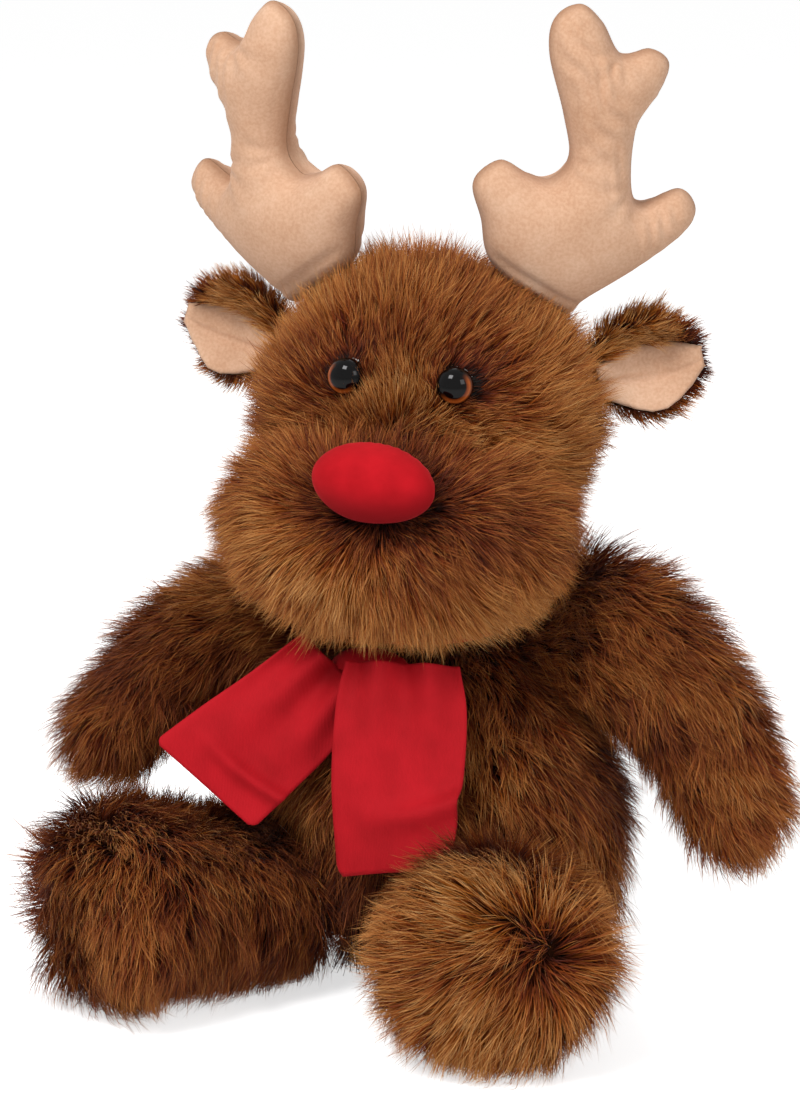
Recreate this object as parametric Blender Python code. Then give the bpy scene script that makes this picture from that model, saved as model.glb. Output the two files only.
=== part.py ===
"""Sitting plush reindeer at full size: metres, +Z up, facing -Y, seat on z = 0."""

import math

import bmesh
import bpy
import numpy as np
from mathutils import Matrix, Vector

for thing in list(bpy.data.objects):
    bpy.data.objects.remove(thing, do_unlink=True)

# Sizes that serve the whole toy
GAP = 0.0003
FLAT_DEPTH = 0.0005
OVERRUN = 0.03
FUR_WALL = 0.009
CLOTH_WALL = 0.0014

# Body: a pear that sits on its flattened base and narrows to the neck
BODY_RADIUS = 0.074
BODY_DEPTH_RADIUS = 0.063
NECK_HEIGHT = 0.158
BELLY_FORWARD = 0.004
BODY_HEIGHT_SHARES = (0.0, 0.0, 0.03, 0.10, 0.22, 0.40, 0.57, 0.70, 0.80, 0.88, 0.94, 1.0)
BODY_WIDTH_SHARES = (0.0, 0.56, 0.75, 0.90, 0.985, 1.0, 0.92, 0.80, 0.67, 0.49, 0.41, 0.38)
PELLET_BAG_WIDTH_RADIUS = 0.036
PELLET_BAG_DEPTH_RADIUS = 0.025
PELLET_BAG_HALF_HEIGHT = 0.011
PELLET_BAG_BACK = 0.009

# Head: an egg on the neck, turned and tilted as the photo shows it
NECK_AXIS_X = -0.004
NECK_AXIS_Y = -0.004
HEAD_TURN = math.radians(11)
HEAD_TILT = math.radians(2.5)
HEAD_WIDTH_RADIUS = 0.064
HEAD_DEPTH_RADIUS = 0.058
HEAD_HEIGHT_RADIUS = 0.060
HEAD_CENTRE_UP = 0.0535
NECK_BORE_RADIUS = 0.021
THROAT_TOP_RADIUS = 0.0335
THROAT_FOOT_RADIUS = 0.062
THROAT_DEPTH = 0.026

# Muzzle and nose
MUZZLE_WIDTH_RADIUS = 0.066
MUZZLE_DEPTH_RADIUS = 0.052
MUZZLE_HEIGHT_RADIUS = 0.041
MUZZLE_CENTRE_FORWARD = 0.040
MUZZLE_CENTRE_UP = 0.020
NOSE_WIDTH_RADIUS = 0.0222
NOSE_DEPTH_RADIUS = 0.0140
NOSE_HEIGHT_RADIUS = 0.0138
NOSE_CENTRE_FORWARD = 0.084
NOSE_CENTRE_UP = 0.0455

# Eyes: domed plastic on a shank, locked by a washer behind the cover
EYE_RADIUS = 0.0068
EYE_DOME_HEIGHT = 0.0048
EYE_RIM_HEIGHT = 0.0012
EYE_SINK = 0.0035
EYE_SIDEWAYS = 0.021
EYE_UP = 0.0765
EYE_AHEAD_SHARE = 2
SHANK_RADIUS = 0.0018
SHANK_LENGTH = 0.0125
WASHER_RADIUS = 0.0065
WASHER_THICKNESS = 0.0015
WASHER_SEAT_DEPTH = 0.0010

# Ears: a fur back with a suede lining in front of it
EAR_LENGTH = 0.043
EAR_HALF_WIDTH = 0.0185
EAR_BACK_THICKNESS = 0.007
EAR_CUP = 0.009
EAR_ROOT_HEIGHT = 0.071
EAR_BACK_SHIFT = 0.008
EAR_SEAT_DEPTH = 0.0015
EAR_SEAT_GAP = 0.0006
EAR_RISE = math.radians(14)
EAR_FORWARD_TURN = math.radians(14)
EAR_LINING_SHARE = 0.80
EAR_RIM_SHARE = 0.45
EAR_WIDTH_SHARES = (0.50, 0.72, 0.90, 1.0, 1.0, 0.88, 0.66, 0.30)

# Antlers: two suede panels seamed round the edge of a branched outline
ANTLER_SPREAD = 0.082
ANTLER_HEIGHT = 0.117
ANTLER_THICKNESS = 0.018
ANTLER_EDGE_ROUND = 0.0055
ANTLER_SIDEWAYS = {1: 0.035, -1: 0.041}
ANTLER_PLANE_TURNS = {1: math.radians(22), -1: math.radians(30)}
ANTLER_LEANS = {1: math.radians(0), -1: math.radians(-4)}
ANTLER_SEAT_SINK = 0.0001
ANTLER_OUTLINE_SHARES = (
    (0.15, -0.085), (0.29, -0.015), (0.52, 0.09), (0.70, 0.19), (0.75, 0.27), (0.67, 0.335),
    (0.50, 0.29), (0.45, 0.36), (0.46, 0.54), (0.55, 0.65), (0.585, 0.74), (0.50, 0.785),
    (0.37, 0.77), (0.28, 0.87), (0.18, 0.925), (0.07, 0.88), (0.055, 0.77), (0.13, 0.58),
    (0.165, 0.44), (0.09, 0.37), (-0.01, 0.385), (-0.14, 0.43), (-0.255, 0.36), (-0.215, 0.24),
)

# Arms: sewn flat on the sloping shoulders
SHOULDER_SLOPE = math.radians(30)
SHOULDER_HEIGHT = 0.122
SHOULDER_CUT = 0.0020
ARM_OUTS = {
    1: (-0.010, 0.014, 0.030, 0.038, 0.041, 0.041),
    -1: (-0.010, 0.012, 0.025, 0.031, 0.033, 0.034),
}
ARM_DOWNS = (-0.002, 0.003, 0.020, 0.040, 0.060, 0.078)
ARM_RADII = (0.0265, 0.0275, 0.0265, 0.0250, 0.0240, 0.0225)
ARM_FORWARDS = {1: math.radians(6), -1: math.radians(45)}

# Legs: a ball at the hip in a dish of the body, a sleeve, and a foot closed by a sole
HIP_SIDEWAYS = {1: 0.046, -1: 0.051}
HIP_FORWARD = {1: 0.044, -1: 0.050}
HIP_RADIUS = 0.033
LEG_OPENING_RADIUS = 0.019
LEG_ALONGS = (0.008, 0.020, 0.034, 0.046, 0.058, 0.069)
LEG_RADII = (0.0305, 0.0325, 0.0360, 0.0400, 0.0420, 0.0415)
SOLE_RIM_RADIUS = 0.0375
SOLE_RIM_ALONG = 0.0770
SOLE_BULGE = 0.011
SOLE_STEP_SHARES = (0, 0.35, 0.70, 1)
SOLE_EDGE_POWER = 0.7
LEG_TURNS = {1: math.radians(20), -1: math.radians(26)}

# Scarf: a felt band round the neck, a knot, and two square ended tails
BAND_WIDTH = 0.012
BAND_THICKNESS = 0.0030
BAND_MIDDLE_UP = 0.145
BAND_DIP = 0.006
KNOT_HALF_WIDTH = 0.016
KNOT_HALF_HEIGHT = 0.0085
KNOT_HALF_DEPTH = 0.0075
KNOT_DROP = 0.0125
TAIL_CLOTH_THICKNESS = 0.0026
SCARF_HALF_WIDTH = 0.0225
SCARF_END_LENGTH = 0.078
SCARF_END_SHARES = {
    "left": (
        ((0.14, 0.0, 0.0), (0.20, -0.08, -0.15), (0.27, -0.22, -0.44), (0.35, -0.36, -0.73)),
        ((0.58, 0.13, 0.0), (0.89, 0.22, 0.0), (0.93, 0.18, 0.13), (0.87, -0.09, 0.49)),
    ),
    "right": (
        ((-0.15, 0.0, -0.03), (-0.29, -0.12, -0.19), (-0.44, -0.26, -0.34), (-0.59, -0.40, -0.49)),
        ((0.40, 0.10, -0.40), (0.62, 0.13, -0.58), (0.72, 0.16, -0.64), (0.78, 0.16, -0.67)),
    ),
}

# Short tail low on the back
STUB_RADIUS = 0.0135
STUB_LENGTH = 0.040
STUB_UP = 0.046
STUB_RISE = math.radians(35)
STUB_OUT = 0.008
STUB_WALL = 0.005

SIDES = {"left": 1, "right": -1}


def finish(name, hex_colour, roughness):
    """A Principled material from an sRGB hex colour."""
    made = bpy.data.materials.new(name)
    made.use_nodes = True
    shader = made.node_tree.nodes["Principled BSDF"]
    shares = [int(hex_colour[i:i + 2], 16) / 255 for i in (0, 2, 4)]
    linear = [s / 12.92 if s < 0.04045 else ((s + 0.055) / 1.055) ** 2.4 for s in shares]
    shader.inputs["Base Color"].default_value = (*linear, 1)
    shader.inputs["Roughness"].default_value = roughness
    return made


FUR = finish("fur_fabric", "6b4020", 0.95)
SUEDE = finish("suede_cloth", "d2a888", 0.9)
RED_VELOUR = finish("red_velour", "b81824", 0.85)
RED_FELT = finish("red_felt", "b01622", 0.9)
FILL = finish("polyester_fill", "eeeeea", 1.0)
PELLETS = finish("pellet_bag_cloth", "d8d4c8", 0.9)
EYE_PLASTIC = finish("eye_plastic", "1a100a", 0.1)
WASHER_PLASTIC = finish("washer_plastic", "e8e8e4", 0.5)


def add(name, bm, hinge=None, material=None):
    """Makes an object of bm in the frame of hinge, an empty, or of the world."""
    bmesh.ops.recalc_face_normals(bm, faces=bm.faces)
    mesh = bpy.data.meshes.new(name)
    bm.to_mesh(mesh)
    bm.free()
    piece = bpy.data.objects.new(name, mesh)
    bpy.context.collection.objects.link(piece)
    piece.parent = hinge
    if material is None:
        piece.hide_render = True
        piece.display_type = "WIRE"
    else:
        mesh.materials.append(material)
        mesh.shade_smooth()
    return piece


def cut(piece, *cutters):
    for cutter in cutters:
        boolean = piece.modifiers.new("cut by " + cutter.name, "BOOLEAN")
        boolean.operation = "DIFFERENCE"
        boolean.solver = "EXACT"
        boolean.object = cutter
    return piece


def hinge_at(name, matrix, parent=None):
    empty = bpy.data.objects.new(name, None)
    bpy.context.collection.objects.link(empty)
    empty.parent = parent
    empty.matrix_local = matrix
    return empty


def frame_of(origin, x_axis, z_axis):
    """A right handed frame at origin from its x and z directions."""
    z = Vector(z_axis).normalized()
    y = z.cross(Vector(x_axis)).normalized()
    x = y.cross(z)
    turn = Matrix((x, y, z)).transposed().to_4x4()
    return Matrix.Translation(Vector(origin)) @ turn


def lofted(rings):
    """A closed skin over rings of points; a ring of one point is a pole."""
    bm = bmesh.new()
    made = [[bm.verts.new(p) for p in ring] for ring in rings]
    for low, high in zip(made, made[1:]):
        count = max(len(low), len(high))
        for i in range(count):
            j = (i + 1) % count
            corners = [low[i % len(low)], low[j % len(low)], high[j % len(high)], high[i % len(high)]]
            bm.faces.new(list(dict.fromkeys(corners)))
    for ring in (made[0], made[-1]):
        if len(ring) > 1:
            bm.faces.new(ring)
    return bm


def circle(count):
    angles = np.linspace(0, 2 * np.pi, count, endpoint=False)
    return np.cos(angles), np.sin(angles)


def oval_rings(heights, half_widths, half_depths, shifts, count):
    """Level ovals: x = w cos a, y = d sin a + shift, z = height."""
    c, s = circle(count)
    rings = []
    for z, w, d, shift in zip(heights, half_widths, half_depths, shifts):
        if w < GAP:
            rings.append([(0, shift, z)])
        else:
            rings.append(np.stack([w * c, d * s + shift, np.full(count, z)], 1))
    return rings


def egg(centre, radii, count, levels):
    """An ellipsoid of rings about z, its poles at the top and the bottom."""
    polar = np.linspace(0, np.pi, levels + 1)
    half = np.sin(polar)
    half[[0, -1]] = 0
    up = centre[2] - radii[2] * np.cos(polar)
    rings = oval_rings(up, radii[0] * half, radii[1] * half, np.full(levels + 1, centre[1]), count)
    return lofted([[(p[0] + centre[0], p[1], p[2]) for p in ring] for ring in rings])


def turned(profile, count):
    """A solid of revolution about z through (radius, height) pairs from axis to axis."""
    c, s = circle(count)
    rings = []
    for radius, height in profile:
        if radius > 0:
            rings.append(np.stack([radius * c, radius * s, np.full(count, height)], 1))
        else:
            rings.append([(0, 0, height)])
    return lofted(rings)


def clear_ball(radius, count, levels):
    """The radii of a faceted ball whose flats clear a ball of this radius."""
    return [radius / math.cos(math.pi / count) / math.cos(math.pi / 2 / levels)] * 3


def slab(x_range, y_range, z_range):
    bm = bmesh.new()
    bmesh.ops.create_cube(bm, size=1)
    for v in bm.verts:
        share = v.co + Vector((0.5, 0.5, 0.5))
        for axis, (low, high) in enumerate((x_range, y_range, z_range)):
            v.co[axis] = low + (high - low) * share[axis]
    return bm


def smooth_run(rows, steps, closed=False):
    """A Catmull Rom curve through rows, steps points to each stretch."""
    rows = np.asarray(rows, float)
    if closed:
        padded = np.vstack([rows[-1:], rows, rows[:2]])
    else:
        padded = np.vstack([2 * rows[:1] - rows[1:2], rows, 2 * rows[-1:] - rows[-2:-1]])
    run = []
    for a, b, c, d in zip(padded, padded[1:], padded[2:], padded[3:]):
        for t in np.arange(steps) / steps:
            run.append(0.5 * (2 * b + (c - a) * t + (2 * a - 5 * b + 4 * c - d) * t**2
                              + (3 * b - a - 3 * c + d) * t**3))
    if not closed:
        run.append(rows[-1])
    return np.array(run)


# The floor that everything resting on it is cut by
reach = NECK_HEIGHT
floor = add("floor_cutter", slab((-reach, reach), (-reach - OVERRUN, reach), (-OVERRUN, 0)))


def body_form(inset, top, count):
    """The body's skin moved in by inset, its upper end carried on to the height top."""
    heights = np.array(BODY_HEIGHT_SHARES) * (NECK_HEIGHT + FLAT_DEPTH) - FLAT_DEPTH
    widths = np.array(BODY_WIDTH_SHARES)
    middle = NECK_HEIGHT / 2
    heights = middle + (heights - middle) * (middle + FLAT_DEPTH - inset) / (middle + FLAT_DEPTH)
    half_widths = np.where(widths > 0, widths * BODY_RADIUS - inset, 0)
    half_depths = np.where(widths > 0, widths * BODY_DEPTH_RADIUS - inset, 0)
    shifts = -BELLY_FORWARD * np.sin(np.pi * np.clip(heights / NECK_HEIGHT, 0, 1)) + NECK_AXIS_Y
    heights[-1] = top
    return lofted(oval_rings(heights, half_widths, half_depths, shifts, count))


def body_surface(angle, height, out):
    """The point out of the body's side at an angle from +X and a height."""
    share = (height + FLAT_DEPTH) / (NECK_HEIGHT + FLAT_DEPTH)
    width = np.interp(share, BODY_HEIGHT_SHARES[1:], BODY_WIDTH_SHARES[1:])
    shift = -BELLY_FORWARD * math.sin(math.pi * height / NECK_HEIGHT) + NECK_AXIS_Y
    return (
        (width * BODY_RADIUS + out) * math.cos(angle),
        (width * BODY_DEPTH_RADIUS + out) * math.sin(angle) + shift,
        height,
    )


BODY_COUNT = 24
body_cover = add("body_cover", body_form(0, NECK_HEIGHT, BODY_COUNT), None, FUR)
body_room = add("body_room_cutter", body_form(FUR_WALL, NECK_HEIGHT + OVERRUN, BODY_COUNT))
body_clear = add("body_clearance_cutter", body_form(-GAP, NECK_HEIGHT, BODY_COUNT))
body_fill = body_form(FUR_WALL + GAP, NECK_HEIGHT, BODY_COUNT)
body_stuffing = add("body_stuffing", body_fill, None, FILL)

bag_up = FUR_WALL + 2 * GAP + PELLET_BAG_HALF_HEIGHT
bag_radii = (PELLET_BAG_WIDTH_RADIUS, PELLET_BAG_DEPTH_RADIUS, PELLET_BAG_HALF_HEIGHT)
bag_hollow_radii = [r + GAP for r in bag_radii[:2]] + [PELLET_BAG_HALF_HEIGHT + 3 * GAP]
bag_centre = (0, PELLET_BAG_BACK, bag_up)
add("pellet_bag", egg(bag_centre, bag_radii, 16, 8), None, PELLETS)
bag_hollow = add("pellet_bag_cutter", egg(bag_centre, bag_hollow_radii, 16, 8))

# Shoulder planes: the body is cut flat there and the arm's root lies on the cut
slope_out = math.cos(SHOULDER_SLOPE)
slope_up = math.sin(SHOULDER_SLOPE)
shoulder_x = body_surface(0, SHOULDER_HEIGHT, 0)[0] - SHOULDER_CUT / slope_out
shoulders = {}
for side, sign in SIDES.items():
    place = frame_of(
        (sign * shoulder_x, NECK_AXIS_Y, SHOULDER_HEIGHT),
        (sign * slope_up, 0, -slope_out),
        (sign * slope_out, 0, slope_up),
    )
    swing = Matrix.Rotation(-sign * ARM_FORWARDS[sign], 4, "Z")
    shoulders[side] = hinge_at(side + "_shoulder", place @ swing)
    half = BODY_RADIUS
    cutter = add(side + "_shoulder_cutter", slab((-half, half), (-half, half), (0, OVERRUN)), shoulders[side])
    cut(body_cover, cutter)

# Hip dishes: a ball of the leg's root radius, with the cover's wall behind it
hips = {}
for side, sign in SIDES.items():
    place = Matrix.Translation((sign * HIP_SIDEWAYS[sign], -HIP_FORWARD[sign], 0))
    turn = Matrix.Rotation(sign * LEG_TURNS[sign] - math.pi / 2, 4, "Z")
    hips[side] = hinge_at(side + "_hip", place @ turn)
    up = HIP_RADIUS - FLAT_DEPTH
    ball = clear_ball(HIP_RADIUS + GAP, 20, 10)
    dish = add(side + "_hip_dish_cutter", egg((0, 0, up), ball, 20, 10), hips[side])
    wall = clear_ball(HIP_RADIUS + FUR_WALL / 2, 16, 8)
    shell = add(side + "_hip_wall_cutter", egg((0, 0, up), wall, 16, 8), hips[side])
    room = clear_ball(HIP_RADIUS + FUR_WALL / 2 + GAP, 16, 8)
    clear = add(side + "_hip_room_cutter", egg((0, 0, up), room, 16, 8), hips[side])
    cut(body_cover, dish)
    cut(body_room, shell)
    cut(body_stuffing, clear)
    cut(body_clear, dish)

cut(body_cover, body_room, floor)
cut(body_stuffing, bag_hollow)


def arm_rings(sign, inset, root_inset, count):
    """Rings square to the arm's curved middle line, with a round paw end."""
    rows = np.stack([ARM_OUTS[sign], ARM_DOWNS, ARM_RADII], 1)
    rows[0, 0] -= root_inset
    run = smooth_run(rows, 2)
    middle, radii = run[:, :2], run[:, 2] - inset
    along = np.gradient(middle, axis=0)
    along /= np.linalg.norm(along, axis=1)[:, None]
    for angle in np.linspace(0, np.pi / 2, 4)[1:]:
        middle = np.vstack([middle, run[-1, :2] + along[-1] * radii[len(run) - 1] * np.sin(angle)])
        radii = np.append(radii, radii[len(run) - 1] * np.cos(angle))
        along = np.vstack([along, along[-1]])
    c, s = circle(count)
    rings = []
    for (out, down), radius, (dir_out, dir_down) in zip(middle, radii, along):
        if radius < GAP:
            rings.append([(down, 0, out)])
            continue
        down_run = down - dir_out * radius * c
        out_run = out + dir_down * radius * c
        rings.append(np.stack([down_run, radius * s, out_run], 1))
    return rings


for side, sign in SIDES.items():
    hinge = shoulders[side]
    half = BODY_RADIUS
    behind = add(side + "_arm_root_cutter", slab((-half, half), (-half, half), (-OVERRUN, GAP)), hinge)
    cover = add(side + "_arm_cover", lofted(arm_rings(sign, 0, 0, 16)), hinge, FUR)
    room_rings = lofted(arm_rings(sign, FUR_WALL, FUR_WALL, 12))
    room = add(side + "_arm_room_cutter", room_rings, hinge)
    cut(cover, behind, room)
    fill_rings = lofted(arm_rings(sign, FUR_WALL + GAP, FUR_WALL, 12))
    cut(add(side + "_arm_stuffing", fill_rings, hinge, FILL), behind)


def leg_rings(inset, count):
    """Upright rings along x that stand on the floor, from the hip ball to the sole."""
    alongs = list(LEG_ALONGS)
    radii = list(LEG_RADII)
    ball = np.linspace(math.asin(LEG_OPENING_RADIUS / HIP_RADIUS), np.pi / 2, 4)
    root_alongs = [-HIP_RADIUS * math.cos(a) for a in ball]
    root_radii = [HIP_RADIUS * math.sin(a) for a in ball]
    rows = [(x, r) for x, r in zip(root_alongs + alongs, root_radii + radii)]
    rows.append((SOLE_RIM_ALONG, SOLE_RIM_RADIUS))
    c, s = circle(count)
    rings = []
    for x, r in rows:
        up = r - FLAT_DEPTH if x > 0 else HIP_RADIUS - FLAT_DEPTH
        inner = r - inset
        rings.append(np.stack([np.full(count, x), inner * c, inner * s + up], 1))
    return rings


def sole_rings(count):
    """The sole: a cup over the sleeve's end, its rim the seam line, its middle bulged."""
    c, s = circle(count)
    up = SOLE_RIM_RADIUS - FLAT_DEPTH
    rows = []
    for share in SOLE_STEP_SHARES:
        rows.append((SOLE_RIM_ALONG + GAP + SOLE_BULGE * math.sin(share * math.pi / 2),
                     SOLE_RIM_RADIUS * math.cos(share * math.pi / 2) ** SOLE_EDGE_POWER))
    for share in SOLE_STEP_SHARES[::-1]:
        rows.append((SOLE_RIM_ALONG + GAP + (SOLE_BULGE - FUR_WALL / 2) * math.sin(share * math.pi / 2),
                     (SOLE_RIM_RADIUS - FUR_WALL) * math.cos(share * math.pi / 2) ** SOLE_EDGE_POWER))
    rings = []
    for x, r in rows:
        if r < GAP:
            rings.append([(x, 0, up)])
        else:
            rings.append(np.stack([np.full(count, x), r * c, r * s + up], 1))
    return rings


def sole_skin(count):
    """Closes the sole's outer and inner bowls with a flat seam ring."""
    rings = sole_rings(count)
    bm = bmesh.new()
    made = [[bm.verts.new(p) for p in ring] for ring in rings]
    pairs = list(zip(made, made[1:]))
    del pairs[len(made) // 2 - 1]
    pairs.append((made[-1], made[0]))
    for low, high in pairs:
        for i in range(count):
            j = (i + 1) % count
            corners = [low[i % len(low)], low[j % len(low)], high[j % len(high)], high[i % len(high)]]
            bm.faces.new(list(dict.fromkeys(corners)))
    return bm


for side, sign in SIDES.items():
    hinge = hips[side]
    cover_rings = lofted(leg_rings(0, 20))
    cover = add(side + "_leg_cover", cover_rings, hinge, FUR)
    room_rings = leg_rings(FUR_WALL, 14)
    root = room_rings[0].copy()
    root[:, 0] -= FUR_WALL
    tip = room_rings[-1].copy()
    tip[:, 0] += FUR_WALL
    room = add(side + "_leg_room_cutter", lofted([root, *room_rings, tip]), hinge)
    cut(cover, room, floor)
    add(side + "_leg_stuffing", lofted(leg_rings(FUR_WALL + GAP, 14)), hinge, FILL)
    cut(add(side + "_sole_panel", sole_skin(20), hinge, FUR), floor)

# Head frame: its origin on the neck's top, its turn about the upright neck axis
neck_place = Matrix.Translation((NECK_AXIS_X, NECK_AXIS_Y, NECK_HEIGHT))
neck = hinge_at("neck_turn", neck_place @ Matrix.Rotation(HEAD_TURN, 4, "Z"))
head = hinge_at("head_tilt", Matrix.Rotation(HEAD_TILT, 4, "Y"), neck)


def head_form(inset, count, levels):
    radii = [r - inset for r in (HEAD_WIDTH_RADIUS, HEAD_DEPTH_RADIUS, HEAD_HEIGHT_RADIUS)]
    return egg((0, 0, HEAD_CENTRE_UP), radii, count, levels)


throat_profile = (
    (0, GAP), (THROAT_TOP_RADIUS, GAP), (THROAT_FOOT_RADIUS, -THROAT_DEPTH), (0, -THROAT_DEPTH),
)
throat = add("throat_cutter", turned(throat_profile, 32), neck)
bore_profile = (
    (0, -OVERRUN), (NECK_BORE_RADIUS, -OVERRUN), (NECK_BORE_RADIUS, OVERRUN), (0, OVERRUN),
)
neck_bore = add("neck_bore_cutter", turned(bore_profile, 22), neck)
head_cover = add("head_cover", head_form(0, 24, 12), head, FUR)
head_room = add("head_room_cutter", head_form(FUR_WALL, 18, 9), head)
head_clear = add("head_clearance_cutter", head_form(-GAP, 24, 12), head)
head_stuffing = add("head_stuffing", head_form(FUR_WALL + GAP, 18, 9), head, FILL)
cut(head_cover, throat, head_room, neck_bore)


def muzzle_form(inset, count, levels):
    radii = [r - inset for r in (MUZZLE_WIDTH_RADIUS, MUZZLE_DEPTH_RADIUS, MUZZLE_HEIGHT_RADIUS)]
    return egg((0, -MUZZLE_CENTRE_FORWARD, MUZZLE_CENTRE_UP), radii, count, levels)


muzzle_cover = add("muzzle_cover", muzzle_form(0, 24, 12), head, FUR)
muzzle_room = add("muzzle_room_cutter", muzzle_form(FUR_WALL, 18, 9), head)
muzzle_clear = add("muzzle_clearance_cutter", muzzle_form(-GAP, 24, 12), head)
throat_wall_profile = [
    (radius + (FUR_WALL if radius else 0), height + (FUR_WALL if height > 0 else 0))
    for radius, height in throat_profile
]
throat_wall = add("throat_wall_cutter", turned(throat_wall_profile, 32), neck)
cut(muzzle_room, throat_wall)
cut(muzzle_cover, head_clear, throat, muzzle_room)
muzzle_stuffing = add("muzzle_stuffing", muzzle_form(FUR_WALL + GAP, 18, 9), head, FILL)
cut(muzzle_stuffing, head_clear, throat_wall)


def nose_form(inset, count, levels):
    radii = [r - inset for r in (NOSE_WIDTH_RADIUS, NOSE_DEPTH_RADIUS, NOSE_HEIGHT_RADIUS)]
    return egg((0, -NOSE_CENTRE_FORWARD, NOSE_CENTRE_UP), radii, count, levels)


nose_room = add("nose_room_cutter", nose_form(CLOTH_WALL, 18, 8), head)
cut(add("nose_cover", nose_form(0, 18, 8), head, RED_VELOUR), nose_room, muzzle_clear)
cut(add("nose_stuffing", nose_form(CLOTH_WALL + GAP, 18, 8), head, FILL), muzzle_clear)


def head_point(sideways, up, out=0):
    """The point and outward normal of the head's front at a sideways and up place."""
    share = 1 - (sideways / HEAD_WIDTH_RADIUS) ** 2 - ((up - HEAD_CENTRE_UP) / HEAD_HEIGHT_RADIUS) ** 2
    forward = -HEAD_DEPTH_RADIUS * math.sqrt(max(share, 0))
    normal = Vector((
        sideways / HEAD_WIDTH_RADIUS**2,
        forward / HEAD_DEPTH_RADIUS**2,
        (up - HEAD_CENTRE_UP) / HEAD_HEIGHT_RADIUS**2,
    )).normalized()
    return Vector((sideways, forward, up)) + out * normal, normal


for side, sign in SIDES.items():
    point, normal = head_point(sign * EYE_SIDEWAYS, EYE_UP, -EYE_SINK)
    forward = Vector((sign * math.sin(HEAD_TILT), -1, 0))
    look = (normal + EYE_AHEAD_SHARE * forward).normalized()
    socket = hinge_at(side + "_eye_seat", frame_of(point, (1, 0, 0), look), head)
    dome = [(0, -SHANK_LENGTH), (SHANK_RADIUS, -SHANK_LENGTH), (SHANK_RADIUS, 0), (EYE_RADIUS, 0)]
    for angle in np.linspace(0, np.pi / 2, 5):
        rise = EYE_RIM_HEIGHT + EYE_DOME_HEIGHT * math.sin(angle)
        dome.append((EYE_RADIUS * math.cos(angle) if angle < np.pi / 2 else 0, rise))
    add(side + "_eye", turned(dome, 16), socket, EYE_PLASTIC)
    washer_top = EYE_SINK - FUR_WALL - GAP + WASHER_SEAT_DEPTH
    ring = bmesh.new()
    hole = SHANK_RADIUS + GAP
    c, s = circle(12)
    corners = (
        (hole, washer_top), (WASHER_RADIUS, washer_top),
        (WASHER_RADIUS, washer_top - WASHER_THICKNESS), (hole, washer_top - WASHER_THICKNESS),
    )
    loops = [[ring.verts.new((r * x, r * y, z)) for x, y in zip(c, s)] for r, z in corners]
    for low, high in zip(loops, loops[1:] + loops[:1]):
        for i in range(len(low)):
            j = (i + 1) % len(low)
            ring.faces.new([low[i], low[j], high[j], high[i]])
    add(side + "_eye_washer", ring, socket, WASHER_PLASTIC)
    pocket_profile = (
        (0, -SHANK_LENGTH - GAP), (SHANK_RADIUS + 2 * GAP, -SHANK_LENGTH - GAP),
        (SHANK_RADIUS + 2 * GAP, washer_top - WASHER_THICKNESS - GAP),
        (WASHER_RADIUS + GAP, washer_top - WASHER_THICKNESS - GAP),
        (WASHER_RADIUS + GAP, washer_top + GAP), (SHANK_RADIUS + GAP, washer_top + GAP),
        (SHANK_RADIUS + GAP, -GAP), (EYE_RADIUS + GAP, -GAP), (EYE_RADIUS + GAP, OVERRUN), (0, OVERRUN),
    )
    pocket = add(side + "_eye_cutter", turned(pocket_profile, 14), socket)
    cut(head_cover, pocket)
    cut(head_stuffing, pocket)


def close_sheets(bm, sheets):
    """Faces over two like grids of vertices and round their common rim."""
    rows, columns = len(sheets[0]), len(sheets[0][0])
    for sheet in sheets:
        for i in range(rows - 1):
            for j in range(columns - 1):
                bm.faces.new([sheet[i][j], sheet[i + 1][j], sheet[i + 1][j + 1], sheet[i][j + 1]])
    rim = [(i, 0) for i in range(rows)] + [(rows - 1, j) for j in range(1, columns)]
    rim += [(i, columns - 1) for i in range(rows - 2, -1, -1)] + [(0, j) for j in range(columns - 2, 0, -1)]
    for (i, j), (k, m) in zip(rim, rim[1:] + rim[:1]):
        bm.faces.new([sheets[0][i][j], sheets[0][k][m], sheets[1][k][m], sheets[1][i][j]])


def ear_panel(share, middle_out, thickness, rows, columns):
    """A cupped leaf: x along it, y across it, z = cup (t t - 1) sin(pi s) out of the head's plane."""
    s = np.linspace(0, 1, rows)[:, None] * np.ones(columns)
    t = np.linspace(-1, 1, columns)[None, :] * np.ones((rows, 1))
    width = np.interp(s, np.linspace(0, 1, len(EAR_WIDTH_SHARES)), EAR_WIDTH_SHARES)
    start = (1 - share) / 2
    x = EAR_LENGTH * (start + share * s)
    y = EAR_HALF_WIDTH * share * width * t
    along = start + share * s
    across = y / EAR_HALF_WIDTH
    cup = EAR_CUP * (across**2 - 1) * np.sin(np.pi * np.clip(along, 0, 1)) + middle_out
    edge = np.minimum(1 - t**6, 1 - (2 * s - 1) ** 8)
    half = thickness / 2 * (EAR_RIM_SHARE + (1 - EAR_RIM_SHARE) * edge)
    bm = bmesh.new()
    sheets = []
    for z in (cup + half, cup - half):
        sheets.append([[bm.verts.new((x[i, j], y[i, j], z[i, j])) for j in range(columns)] for i in range(rows)])
    close_sheets(bm, sheets)
    return bm


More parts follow.
